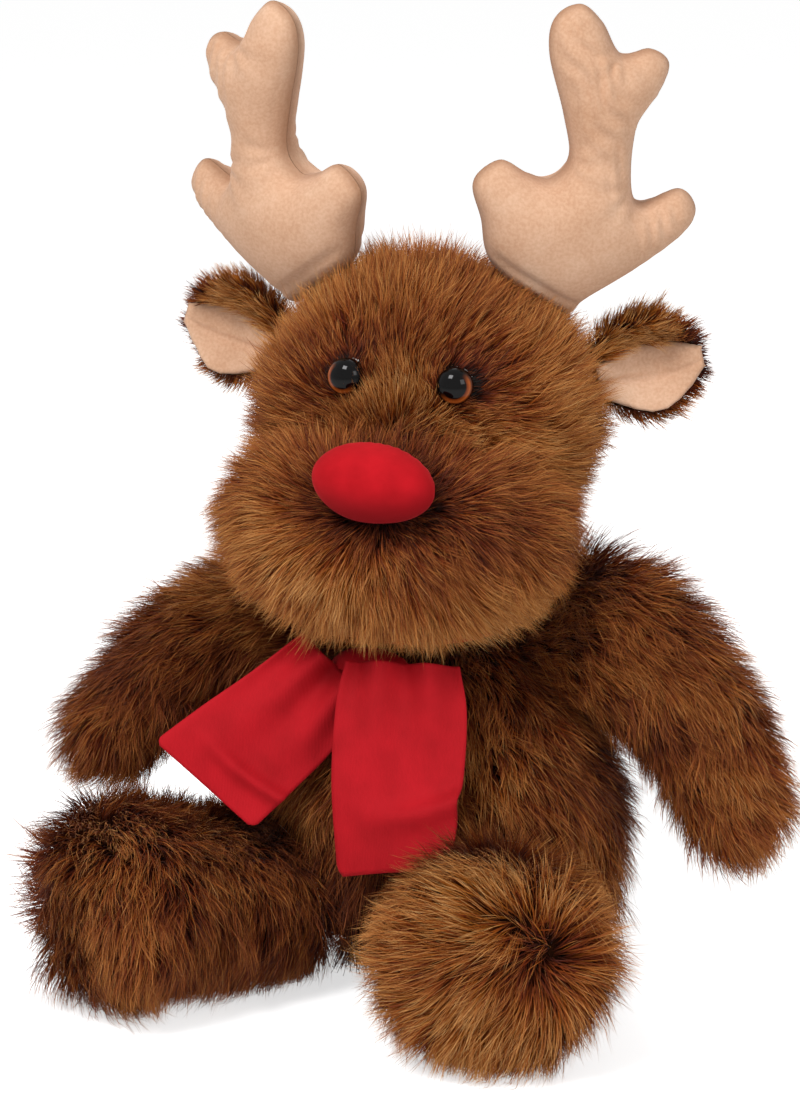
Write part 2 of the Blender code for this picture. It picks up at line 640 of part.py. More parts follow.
ear_seat = add("ear_seat_cutter", head_form(-EAR_SEAT_GAP, 24, 12), head)
ears = {}
for side, sign in SIDES.items():
    up_share = (EAR_ROOT_HEIGHT - HEAD_CENTRE_UP) / HEAD_HEIGHT_RADIUS
    back_share = EAR_BACK_SHIFT / HEAD_DEPTH_RADIUS
    sideways = HEAD_WIDTH_RADIUS * math.sqrt(1 - up_share**2 - back_share**2)
    root = (sign * (sideways - EAR_SEAT_DEPTH), EAR_BACK_SHIFT, EAR_ROOT_HEIGHT)
    run = Vector((sign * math.cos(EAR_RISE), -math.sin(EAR_FORWARD_TURN), math.sin(EAR_RISE)))
    facing = Vector((sign * math.sin(EAR_FORWARD_TURN), -1, 0))
    ears[side] = hinge_at(side + "_ear_flex", frame_of(root, run, facing), head)
    cut(add(side + "_ear_back", ear_panel(1, 0, EAR_BACK_THICKNESS, 8, 7), ears[side], FUR), ear_seat)
    lining_out = (EAR_BACK_THICKNESS + CLOTH_WALL) / 2 + 2 * GAP
    lining = ear_panel(EAR_LINING_SHARE, lining_out, CLOTH_WALL, 7, 6)
    add(side + "_ear_lining", lining, ears[side], SUEDE)


def moved_in(outline, distance):
    """The closed outline moved inwards by distance along its normals."""
    along = np.roll(outline, -1, 0) - np.roll(outline, 1, 0)
    along /= np.linalg.norm(along, axis=1)[:, None]
    return outline + distance * np.stack([-along[:, 1], along[:, 0]], 1)


def pillow(outline, base, top_rise, bottom_rise, rounding, steps):
    """A padded plate on an outline: quarter ellipse edges that rise to a flat middle."""
    bm = bmesh.new()
    for rise, way in ((top_rise, 1), (bottom_rise, -1)):
        face = bm.faces.new([bm.verts.new((x, y, base)) for x, y in outline[::way]])
        face.normal_update()
        if rise == 0:
            continue
        moved = depth = 0
        for turn in np.linspace(0, np.pi / 2, steps + 1)[1:]:
            new_moved = rounding * (1 - math.cos(turn))
            new_depth = rise * math.sin(turn)
            bmesh.ops.inset_region(
                bm, faces=[face], thickness=new_moved - moved, depth=new_depth - depth,
                use_boundary=True, use_even_offset=True,
            )
            moved, depth = new_moved, new_depth
    bmesh.ops.remove_doubles(bm, verts=bm.verts, dist=GAP / 100)
    return bm


antlers = {}
for side, sign in SIDES.items():
    sideways = ANTLER_SIDEWAYS[sign]
    up = HEAD_HEIGHT_RADIUS * math.sqrt(1 - (sideways / HEAD_WIDTH_RADIUS) ** 2)
    normal = Vector((sideways / HEAD_WIDTH_RADIUS**2, 0, up / HEAD_HEIGHT_RADIUS**2)).normalized()
    root = (
        sign * (sideways - ANTLER_SEAT_SINK * normal.x),
        0,
        HEAD_CENTRE_UP + up - ANTLER_SEAT_SINK * normal.z,
    )
    base_run = Vector((sign * normal.z, 0, -normal.x))
    turn = Matrix.Rotation(sign * ANTLER_PLANE_TURNS[sign], 3, Vector((sign * normal.x, 0, normal.z)))
    place = frame_of(root, turn @ base_run, turn @ Vector((0, -1, 0)))
    lean = Matrix.Rotation(sign * ANTLER_LEANS[sign], 4, "X")
    antlers[side] = hinge_at(side + "_antler_flex", place @ lean, head)
    table = np.array(ANTLER_OUTLINE_SHARES) * (ANTLER_SPREAD, ANTLER_HEIGHT)
    table = np.vstack([table, [-table[0]]])
    tilt = math.atan2(normal.x, normal.z)
    rows = np.stack([
        table[:, 0] * math.cos(tilt) - table[:, 1] * math.sin(tilt),
        table[:, 0] * math.sin(tilt) + table[:, 1] * math.cos(tilt),
    ], 1)
    run = smooth_run(rows, 2, closed=True)
    outline = np.stack([run[:, 0], np.maximum(run[:, 1], 0)], 1)
    if sign < 0:
        outline = (outline * (1, -1))[::-1]
    half = ANTLER_THICKNESS / 2
    inner = moved_in(outline, CLOTH_WALL)
    fill = moved_in(outline, CLOTH_WALL + 3 * GAP)
    for face, way in (("front", 1), ("back", -1)):
        rises = (half, 0) if way > 0 else (0, half)
        panel = pillow(outline, way * GAP / 2, *rises, ANTLER_EDGE_ROUND, 2)
        rises = [r - CLOTH_WALL / 2 if r else CLOTH_WALL for r in rises]
        hollow = pillow(inner, -way * CLOTH_WALL / 2, *rises, ANTLER_EDGE_ROUND - CLOTH_WALL, 1)
        room = add(f"{side}_antler_{face}_cutter", hollow, antlers[side])
        cut(add(f"{side}_antler_{face}", panel, antlers[side], SUEDE), room)
    rise = half - CLOTH_WALL - GAP
    stuffed = pillow(fill, 0, rise, rise, ANTLER_EDGE_ROUND - CLOTH_WALL - GAP, 1)
    add(side + "_antler_stuffing", stuffed, antlers[side], FILL)

# Scarf band: a strip that follows the neck, lower at the front
BAND_COUNT = 24
band = bmesh.new()
band_loops = []
for out, edge in ((GAP, -1), (GAP + BAND_THICKNESS, -1), (GAP + BAND_THICKNESS, 1), (GAP, 1)):
    loop = []
    for angle in np.linspace(0, 2 * np.pi, BAND_COUNT, endpoint=False):
        height = BAND_MIDDLE_UP + BAND_DIP * math.sin(angle) + edge * BAND_WIDTH / 2
        loop.append(band.verts.new(body_surface(angle, height, out + GAP)))
    band_loops.append(loop)
for low, high in zip(band_loops, band_loops[1:] + band_loops[:1]):
    for i in range(BAND_COUNT):
        j = (i + 1) % BAND_COUNT
        band.faces.new([low[i], low[j], high[j], high[i]])
add("scarf_band", band, None, RED_FELT)


def body_front(x, height, out):
    """How far forward the body's front lies at x and a height."""
    side = body_surface(0, height, out)[0]
    front, middle = body_surface(-math.pi / 2, height, out)[1], body_surface(0, height, 0)[1]
    return middle + (front - middle) * math.sqrt(1 - (x / side) ** 2)


# Knot: as far back as the body and the band's lower edge let it
knot_up = BAND_MIDDLE_UP - BAND_DIP - KNOT_DROP
knot_radii = (KNOT_HALF_WIDTH, KNOT_HALF_DEPTH, KNOT_HALF_HEIGHT)
knot = egg((0, 0, knot_up), knot_radii, 16, 8)
band_foot = BAND_MIDDLE_UP - BAND_DIP - BAND_WIDTH / 2
knot_y = 0
for v in knot.verts:
    out = BAND_THICKNESS + 3 * GAP if v.co.z > band_foot - GAP else GAP
    knot_y = min(knot_y, body_front(v.co.x, v.co.z, out) - v.co.y)
bmesh.ops.translate(knot, verts=knot.verts, vec=(0, knot_y, 0))
add("scarf_knot", knot, None, RED_FELT)


def knot_front(x, height):
    """How far forward the knot's front lies, or its middle plane past its outline."""
    share = 1 - (x / KNOT_HALF_WIDTH) ** 2 - ((height - knot_up) / KNOT_HALF_HEIGHT) ** 2
    return knot_y - KNOT_HALF_DEPTH * math.sqrt(max(share, 0))


scarf_ends = {
    side: (np.array(middles) * SCARF_END_LENGTH, np.array(halves) * SCARF_HALF_WIDTH)
    for side, (middles, halves) in SCARF_END_SHARES.items()
}

# Scarf ends: cloth strips that hang from the knot's front, each on a hinge along its top edge
for side, (middles, halves) in scarf_ends.items():
    run = smooth_run(np.hstack([middles, halves]), 3)
    across = np.linspace(-1, 1, 5)
    seat = 0
    for share in np.linspace(-1, 1, 25):
        for x, y, z in run[:4, :3] + share * run[:4, 3:]:
            seat = min(seat, knot_front(x, z + knot_up) - GAP - TAIL_CLOTH_THICKNESS / 2 - y)
    grid = run[:, None, :3] + across[None, :, None] * run[:, None, 3:] + np.array((0, seat, knot_up))
    down = np.gradient(grid, axis=0)
    side_way = np.gradient(grid, axis=1)
    normal = np.cross(side_way, down)
    normal /= np.linalg.norm(normal, axis=2)[..., None]
    top = Vector(grid[0, 2])
    place = frame_of(top, run[0, 3:], Vector(normal[0, 2]))
    lift = hinge_at(f"scarf_{side}_end_lift", place)
    strip = bmesh.new()
    sheets = [
        [[strip.verts.new(p) for p in row] for row in grid + way * normal * TAIL_CLOTH_THICKNESS / 2]
        for way in (1, -1)
    ]
    close_sheets(strip, sheets)
    strip.transform(place.inverted())
    add(f"scarf_{side}_end", strip, lift, RED_FELT)

# Short tail: a stuffed bud on the back, cut by the body
stub_surface = Vector(body_surface(math.pi / 2, STUB_UP, 0))
stub_way = Vector((0, math.cos(STUB_RISE), math.sin(STUB_RISE)))
stub = hinge_at("tail_seat", frame_of(stub_surface, (1, 0, 0), stub_way))


def stub_form(inset):
    radii = [STUB_RADIUS - inset, STUB_RADIUS - inset, STUB_LENGTH / 2 - inset]
    return egg((0, 0, STUB_OUT), radii, 14, 8)


stub_room = add("tail_room_cutter", stub_form(STUB_WALL), stub)
cut(add("tail_cover", stub_form(0), stub, FUR), stub_room, body_clear)
cut(add("tail_stuffing", stub_form(STUB_WALL + GAP), stub, FILL), body_clear)
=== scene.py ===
"""A sitting plush reindeer in long pile fur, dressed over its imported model: metres, +Z up, facing -Y."""

import math

import bpy
import numpy as np
from mathutils import Matrix, Vector
from mathutils.geometry import delaunay_2d_cdt


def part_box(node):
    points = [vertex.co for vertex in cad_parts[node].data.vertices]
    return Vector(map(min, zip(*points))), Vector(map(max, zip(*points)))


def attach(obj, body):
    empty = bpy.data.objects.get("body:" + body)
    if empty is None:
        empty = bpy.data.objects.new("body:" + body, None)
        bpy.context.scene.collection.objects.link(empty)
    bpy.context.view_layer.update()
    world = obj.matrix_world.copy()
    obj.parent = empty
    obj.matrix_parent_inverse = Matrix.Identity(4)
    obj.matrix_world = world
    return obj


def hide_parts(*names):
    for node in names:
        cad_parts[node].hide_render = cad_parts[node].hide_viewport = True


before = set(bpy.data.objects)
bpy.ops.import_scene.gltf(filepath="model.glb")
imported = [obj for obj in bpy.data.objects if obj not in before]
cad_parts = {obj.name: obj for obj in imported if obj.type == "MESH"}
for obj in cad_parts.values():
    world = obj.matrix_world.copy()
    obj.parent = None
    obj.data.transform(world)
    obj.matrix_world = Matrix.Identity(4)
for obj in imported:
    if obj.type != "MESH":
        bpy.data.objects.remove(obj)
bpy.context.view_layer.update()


# Camera: a long lens a little above the toy, from its front and its left side, as a catalogue
# picture is taken, 1.2 m away and filled by the toy from paw to paw.
CAMERA_AZIMUTH, CAMERA_RISE = math.radians(24), math.radians(14)
CAMERA_DISTANCE, SEEN_WIDTH = 1.2, 0.3035
aim = Vector((-0.0116, -0.0057, 0.1590))


def heading(turn, rise):
    """The unit way that turns from -Y towards +X and rises from level."""
    return Vector((math.sin(turn) * math.cos(rise), -math.cos(turn) * math.cos(rise), math.sin(rise)))


away = heading(CAMERA_AZIMUTH, CAMERA_RISE)
camera = bpy.data.objects.new("camera", bpy.data.cameras.new("camera"))
camera.data.sensor_fit = "HORIZONTAL"
camera.data.lens = camera.data.sensor_width * CAMERA_DISTANCE / SEEN_WIDTH
camera.data.clip_end = 20
camera.location = aim + CAMERA_DISTANCE * away
camera.rotation_euler = (-away).to_track_quat("-Z", "Y").to_euler()
bpy.context.collection.objects.link(camera)
bpy.context.scene.camera = camera


# Floor and room: a pale sweep that shows white to the camera and still takes the toy's shadow,
# under soft light from three panes and an even sky.
def linear(hex_colour):
    """An sRGB hex colour as linear numbers with alpha."""
    shares = np.array([int(hex_colour[i:i + 2], 16) for i in (0, 2, 4)]) / 255
    low, high = shares / 12.92, ((shares + 0.055) / 1.055) ** 2.4
    return (*np.where(shares < 0.04045, low, high), 1)


def add_node(tree, kind, sockets=None, links=None, **settings):
    """Adds a shader node, sets its settings and sockets, and links outputs into it."""
    made = tree.nodes.new("ShaderNode" + kind)
    for name, value in settings.items():
        setattr(made, name, value)
    for name, value in (sockets or {}).items():
        made.inputs[name].default_value = value
    for name, value in (links or {}).items():
        tree.links.new(value, made.inputs[name])
    return made


def new_material(name, levels):
    """A node material with constant levels on its shader's own sockets, its tree and its shader."""
    made = bpy.data.materials.new(name)
    made.use_nodes = True
    shader = made.node_tree.nodes["Principled BSDF"]
    for socket, level in levels.items():
        shader.inputs[socket].default_value = level
    return made, made.node_tree, shader


floor_mesh = bpy.data.meshes.new("floor")
floor_mesh.from_pydata([(-6, -6, 0), (6, -6, 0), (6, 6, 0), (-6, 6, 0)], [], [(0, 1, 2, 3)])
floor = bpy.data.objects.new("floor", floor_mesh)
bpy.context.collection.objects.link(floor)
paper, tree, shader = new_material("white_paper_sweep", {
    "Base Color": linear("f4f4f4"), "Roughness": 1, "Specular IOR Level": 0, "Emission Color": (1, 1, 1, 1),
})
path = add_node(tree, "LightPath")
seen = add_node(tree, "Math", links={0: path.outputs["Is Camera Ray"], 1: path.outputs["Is Glossy Ray"]})
lit = add_node(tree, "Math", sockets={1: 0.66}, links={0: seen.outputs[0]}, operation="MULTIPLY")
tree.links.new(lit.outputs[0], shader.inputs["Emission Strength"])
floor_mesh.materials.append(paper)

world = bpy.data.worlds.new("studio")
bpy.context.scene.world = world
world.use_nodes = True
tree = world.node_tree
sky = tree.nodes["Background"]
sky.inputs["Color"].default_value = (1, 1, 1, 1)
path = add_node(tree, "LightPath")
seen = add_node(tree, "Math", links={0: path.outputs["Is Camera Ray"], 1: path.outputs["Is Glossy Ray"]})
through = path.outputs["Is Transmission Ray"]
both = add_node(tree, "Math", links={0: seen.outputs[0], 1: through}, use_clamp=True)
level = add_node(tree, "MapRange", sockets={3: 0.36, 4: 1.0}, links={0: both.outputs[0]})
tree.links.new(level.outputs[0], sky.inputs["Strength"])
for name, turn, rise, distance, size, power in (
    ("key_pane", -8, 50, 1.5, 0.45, 15),
    ("fill_pane", 58, 26, 1.7, 0.6, 6.5),
    ("back_pane", 190, 50, 1.6, 0.9, 6),
):
    pane = bpy.data.objects.new(name, bpy.data.lights.new(name, "AREA"))
    pane.data.shape, pane.data.size, pane.data.energy = "SQUARE", size, power
    way = heading(math.radians(turn), math.radians(rise))
    pane.location = aim + distance * way
    pane.rotation_euler = way.to_track_quat("Z", "Y").to_euler()
    bpy.context.collection.objects.link(pane)

bpy.context.scene.view_settings.view_transform = "Standard"


# Body: a pear of long pile fur fabric over a firm filling, with a dish where each leg is sewn on.
# The fabric is a knitted backing with acrylic pile, whose fibres are dark at the root and tan at
# the tip.
BODY_RADIUS, BODY_DEPTH_RADIUS, BODY_HEIGHT = 0.074, 0.063, 0.158
BODY_SHARES = np.array([
    (0.0, 0.56), (0.03, 0.75), (0.10, 0.90), (0.22, 0.985), (0.40, 1.0), (0.57, 0.92),
    (0.70, 0.80), (0.80, 0.67), (0.88, 0.49), (0.94, 0.41), (1.0, 0.38),
])
BACKING_DEPTH, BASE_SHARE, FABRIC = 0.0100, 0.85, 0.0012
FLANK_FILL, FLANK_UP, FLANK_REACH = 0.0080, 0.055, 0.038
HIP_PLACES = {1: np.array((0.046, -0.044, 0.0325)), -1: np.array((-0.051, -0.050, 0.0325))}
HIP_RADIUS, DISH_RADIUS = 0.033, 0.036


def add_piece(name, body, points, faces, material):
    """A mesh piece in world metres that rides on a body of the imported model."""
    mesh = bpy.data.meshes.new(name)
    mesh.from_pydata(points.tolist(), [], faces)
    mesh.materials.append(material)
    mesh.shade_smooth()
    piece = bpy.data.objects.new(name, mesh)
    bpy.context.collection.objects.link(piece)
    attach(piece, body)
    return piece


def unit(vectors):
    """Vectors at unit length."""
    return vectors / np.linalg.norm(vectors, axis=-1)[..., None]


def round_angles(count):
    """Evenly spaced angles round a full turn."""
    return np.linspace(0, 2 * np.pi, count, endpoint=False)


def facing_out(grid):
    """Unit normals of a grid that closes on itself along its columns, turned away from its middle."""
    down = np.gradient(grid, axis=0)
    round_ = np.roll(grid, -1, 1) - np.roll(grid, 1, 1)
    normals = np.cross(round_, down)
    normals /= np.linalg.norm(normals, axis=2)[..., None] + 1e-12
    outward = ((grid - grid.mean((0, 1))) * normals).sum(2)
    return normals * np.sign(np.median(outward))


def grid_quads(rows, columns, loop_down=False, loop_across=False):
    """Quads over a grid of points numbered row by row, which may close on itself either way."""
    i, j = np.meshgrid(np.arange(rows - 1 + loop_down), np.arange(columns - 1 + loop_across), indexing="ij")
    here, below, k = i * columns, (i + 1) % rows * columns, (j + 1) % columns
    return np.stack([here + j, here + k, below + k, below + j], -1).reshape(-1, 4)


def skin_faces(rows, columns):
    """Faces of a closed skin of rows of points, each a loop, with a face at both ends."""
    caps = [list(range(columns))[::-1], [(rows - 1) * columns + c for c in range(columns)]]
    return grid_quads(rows, columns, loop_across=True).tolist() + caps


def backing(name, body, grid, material):
    """The closed skin over a grid of loops, its faces turned outwards."""
    normals = np.cross(np.roll(grid, -1, 1) - np.roll(grid, 1, 1), np.gradient(grid, axis=0))
    if (facing_out(grid) * normals).sum() >= 0:
        grid = grid[:, ::-1]
    return add_piece(name, body, grid.reshape(-1, 3), skin_faces(*grid.shape[:2]), material)


def stuffed(name, body, skin_grid, filling_grid, share, *other_covers):
    """The knit skin that stands for a fur cover, and the filling inside it."""
    skin = backing(f"{name}_backing", body, skin_grid, knit)
    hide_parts(f"{name}_cover", *other_covers)
    fibre = backing(f"{name}_filling", body, filling_grid, fill)
    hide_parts(f"{name}_stuffing")


def catmull_rom(padded, steps):
    """The curve through rows padded with one more before and two after, steps points to a stretch."""
    t = (np.arange(steps) / steps)[None, :, None]
    a, b, c, d = (padded[i:len(padded) - 3 + i][:, None, :] for i in range(4))
    run = 0.5 * (2 * b + (c - a) * t + (2 * a - 5 * b + 4 * c - d) * t**2 + (3 * b - a - 3 * c + d) * t**3)
    return run.reshape(-1, padded.shape[1])


def smooth_line(rows, steps):
    """A Catmull Rom curve from the first row to the last."""
    rows = np.asarray(rows, float)
    padded = np.vstack([2 * rows[:1] - rows[1:2], rows, 2 * rows[-1:] - rows[-2:-1]])
    return np.vstack([catmull_rom(padded, steps), rows[-1:]])


def body_shift(share):
    """How far the pear's loops stand from the axis along Y, at shares of its height."""
    return -0.004 * np.sin(np.pi * share) - 0.004


def body_grid(inset, columns=96):
    """The pear: x = w cos a + flank, y = d sin a + shift, its widths a smooth curve over its height."""
    line = smooth_line(BODY_SHARES, 6)
    foot = np.stack([np.zeros(6), line[0, 1] * np.linspace(0.02, 0.95, 6)], 1)
    head = np.stack([np.ones(4), line[-1, 1] * np.linspace(0.9, 0.02, 4)], 1)
    shares = np.vstack([foot, line, head])
    z = BASE_SHARE * inset + shares[:, 0] * (BODY_HEIGHT - BASE_SHARE * inset)
    w = np.maximum(shares[:, 1] * BODY_RADIUS - inset * np.minimum(1, shares[:, 1] * 3), 1e-4)
    d = np.maximum(shares[:, 1] * BODY_DEPTH_RADIUS - inset * np.minimum(1, shares[:, 1] * 3), 1e-4)
    shift = body_shift(z / BODY_HEIGHT)
    a = round_angles(columns)
    flank = FLANK_FILL * np.exp(-((z - FLANK_UP) / FLANK_REACH) ** 2)[:, None] * np.clip(np.cos(a), 0, 1) ** 2
    flank *= np.clip(shares[:, 1] * 2, 0, 1)[:, None]
    return np.stack([
        w[:, None] * np.cos(a) + flank, d[:, None] * np.sin(a) + shift[:, None], z[:, None] + 0 * a,
    ], 2)


def body_depth(points):
    """How deep points lie in the body, below nought outside it."""
    share = np.clip(points[:, 2] / BODY_HEIGHT, 0, 1)
    width = np.interp(share, BODY_SHARES[:, 0], BODY_SHARES[:, 1])
    reach = np.hypot(points[:, 0] / BODY_RADIUS, (points[:, 1] - body_shift(share)) / BODY_DEPTH_RADIUS)
    side = (width - reach) * (BODY_RADIUS + BODY_DEPTH_RADIUS) / 2
    return np.minimum(side, BODY_HEIGHT - points[:, 2])


def ball_depth(points, centre, radius):
    """How deep points lie in a ball."""
    return radius - np.linalg.norm(points - centre, axis=1)


def dished(grid, radius):
    """Moves the points of a grid inside a hip ball inwards, level, to the ball's far side."""
    for sign in (1, -1):
        centre = HIP_PLACES[sign]
        way = (centre * (1, 1, 0)) / np.linalg.norm(centre[:2])
        rel = grid - centre
        along = rel @ way
        inside = np.linalg.norm(rel, axis=-1) < radius
        back = along + np.sqrt(np.maximum(radius**2 - (rel**2).sum(-1) + along**2, 0))
        grid = np.where(inside[..., None], grid - back[..., None] * way, grid)
    return grid


# Fur fabric's pile: acrylic fibre, matt with a soft lustre. The map's u picks a fibre's dye,
# from near black over red brown to gold, and its v runs from the root to the tip.
DYE_TONES = (0, 0.08, 0.14, 0.45, 0.65, 1)
fur, tree, shader = new_material("acrylic_pile_fur", {
    "Roughness": 0.62, "Specular IOR Level": 0.16, "Sheen Weight": 0.05, "Sheen Roughness": 0.4,
})
fibre_map = add_node(tree, "UVMap", uv_map="OFBake")
split = add_node(tree, "SeparateXYZ", links={0: fibre_map.outputs[0]})


def dye_ramp(tree, place, stops):
    """A colour ramp over place through (position, hex colour) stops."""
    ramp = add_node(tree, "ValToRGB", links={0: place})
    band = ramp.color_ramp
    for number, (position, colour) in enumerate(stops):
        stop = band.elements[number] if number < 2 else band.elements.new(position)
        stop.position, stop.color = position, linear(colour)
    return ramp.outputs[0]


def eased(tree, place, start, end):
    """A smooth step over place, 0 before start and 1 past end."""
    step = add_node(
        tree, "MapRange", sockets={1: start, 2: end}, links={0: place}, interpolation_type="SMOOTHSTEP")
    return step.outputs[0]


def fibre_dye(*colours):
    """One colour for each of the dye tones."""
    return dye_ramp(tree, split.outputs[0], tuple(zip(DYE_TONES, colours)))


colour = fibre_dye("0d0908", "0f0a08", "120706", "330c03", "4a1704", "632b0a")
for start, end, dye in (
    (0.05, 0.50, fibre_dye("0e0a09", "120c0a", "280d06", "632005", "8a3e09", "b06a1c")),
    (0.45, 0.95, fibre_dye("110c0a", "181009", "4c1c0b", "9a5427", "c2803f", "e6b678")),
):
    reach = eased(tree, split.outputs[1], start, end)
    colour = add_node(tree, "Mix", links={0: reach, 6: colour, 7: dye}, data_type="RGBA").outputs[2]
tree.links.new(colour, shader.inputs["Base Color"])


def mottled(name, scale, detail, colours, levels):
    """A material whose colour drifts between two hex colours with noise in the piece's own space."""
    made, tree, shader = new_material(name, levels)
    place = add_node(tree, "TexCoord").outputs["Object"]
    noise = add_node(tree, "TexNoise", sockets={"Scale": scale, "Detail": detail}, links={0: place})
    tone = dye_ramp(tree, noise.outputs[0], tuple(zip((0.3, 0.7), colours)))
    tree.links.new(tone, shader.inputs["Base Color"])
    return made, tree, shader, place, tone


# The backing that shows between the fibres' roots is a dark brown knit of 1.4 mm loops, and the
# filling that the covers shut in is white polyester fibre in 8 mm tufts.
knit, *_ = mottled("knitted_backing", 700, 2, ("1c0c05", "301608"), {
    "Roughness": 1, "Specular IOR Level": 0.05,
})
fill, *_ = mottled("polyester_fibre_fill", 120, 6, ("d8d8d4", "f2f2ee"), {"Roughness": 1})

STRAND_PARTS = 3
STRAND_BENDS = np.array([0.50, 0.90, 1.20])
STRAND_WIDTHS = np.array([0.8, 1.0, 0.75])
GUARD_WIDTH, UNDERCOAT_WIDTH = 0.00024, 0.00050
UNDERCOAT_SHARE, UNDERCOAT_LENGTH_SHARE, STRAY_SHARE = 0.34, 0.66, 0.07
# roots lie a little under the knit's face, a clump gathers CLUMP_GAP strands, and leans are in radians
ROOT_SINK, CLUMP_GAP, FUR_LEAN, BODY_PILE = 0.0005, 28, 1.05, 0.0210


def scattered(grid, count, rng):
    """Roots spread evenly by area over a grid of loops, with their outward normals."""
    normals = facing_out(grid)
    corner = [grid, np.roll(grid, -1, 1)]
    size = np.linalg.norm(np.cross(corner[1][:-1] - grid[:-1], grid[1:] - grid[:-1]), axis=2)
    size += np.linalg.norm(np.cross(corner[1][1:] - grid[1:], corner[1][:-1] - corner[1][1:]), axis=2)
    ends = np.cumsum(size.ravel())
    cell = np.searchsorted(ends, rng.uniform(0, ends[-1], count))
    i, j = cell // grid.shape[1], cell % grid.shape[1]
    k = (j + 1) % grid.shape[1]
    s, t = rng.uniform(size=(2, count, 1))

    def mixed(field):
        """The field at the roots, between the four corners of their cells."""
        return ((1 - s) * (1 - t) * field[i, j] + s * (1 - t) * field[i + 1, j]
                + (1 - s) * t * field[i, k] + s * t * field[i + 1, k])

    return mixed(grid), unit(mixed(normals))


def patchy(points, size, seed):
    """A smooth field from minus one to one whose patches are about a size across."""
    rng = np.random.default_rng(seed)
    waves = rng.normal(size=(9, 3)) / size * 1.6
    return np.sin(points @ waves.T + rng.uniform(0, 6.3, 9)).sum(1) / 4


def drifting(roots, level, seed, fine_seed, fine=0.08):
    """Dye tones about a level, drifting in patches of 30 mm and of 8 mm."""
    return level + 0.11 * patchy(roots, 0.03, seed) + fine * patchy(roots, 0.008, fine_seed)


def combed(ways, outs):
    """The ways laid flat on the surface, at unit length."""
    flat = ways - (ways * outs).sum(1)[:, None] * outs
    return flat / (np.linalg.norm(flat, axis=1)[:, None] + 1e-9)


def turned_about(vectors, axes, angles):
    """Vectors turned about unit axes at right angles to them."""
    return vectors * np.cos(angles)[:, None] + np.cross(axes, vectors) * np.sin(angles)[:, None]


def strand_paths(roots, outs, lays, lengths, leans):
    """Four points a strand: it leaves the backing steeply and bends over towards its lay."""
    points = [roots]
    for bend in STRAND_BENDS:
        angle = np.minimum(bend * leans, 1.75)[:, None]
        step = outs * np.cos(angle) + lays * np.sin(angle)
        points.append(points[-1] + step * lengths[:, None] / STRAND_PARTS)
    return np.stack(points, 1)


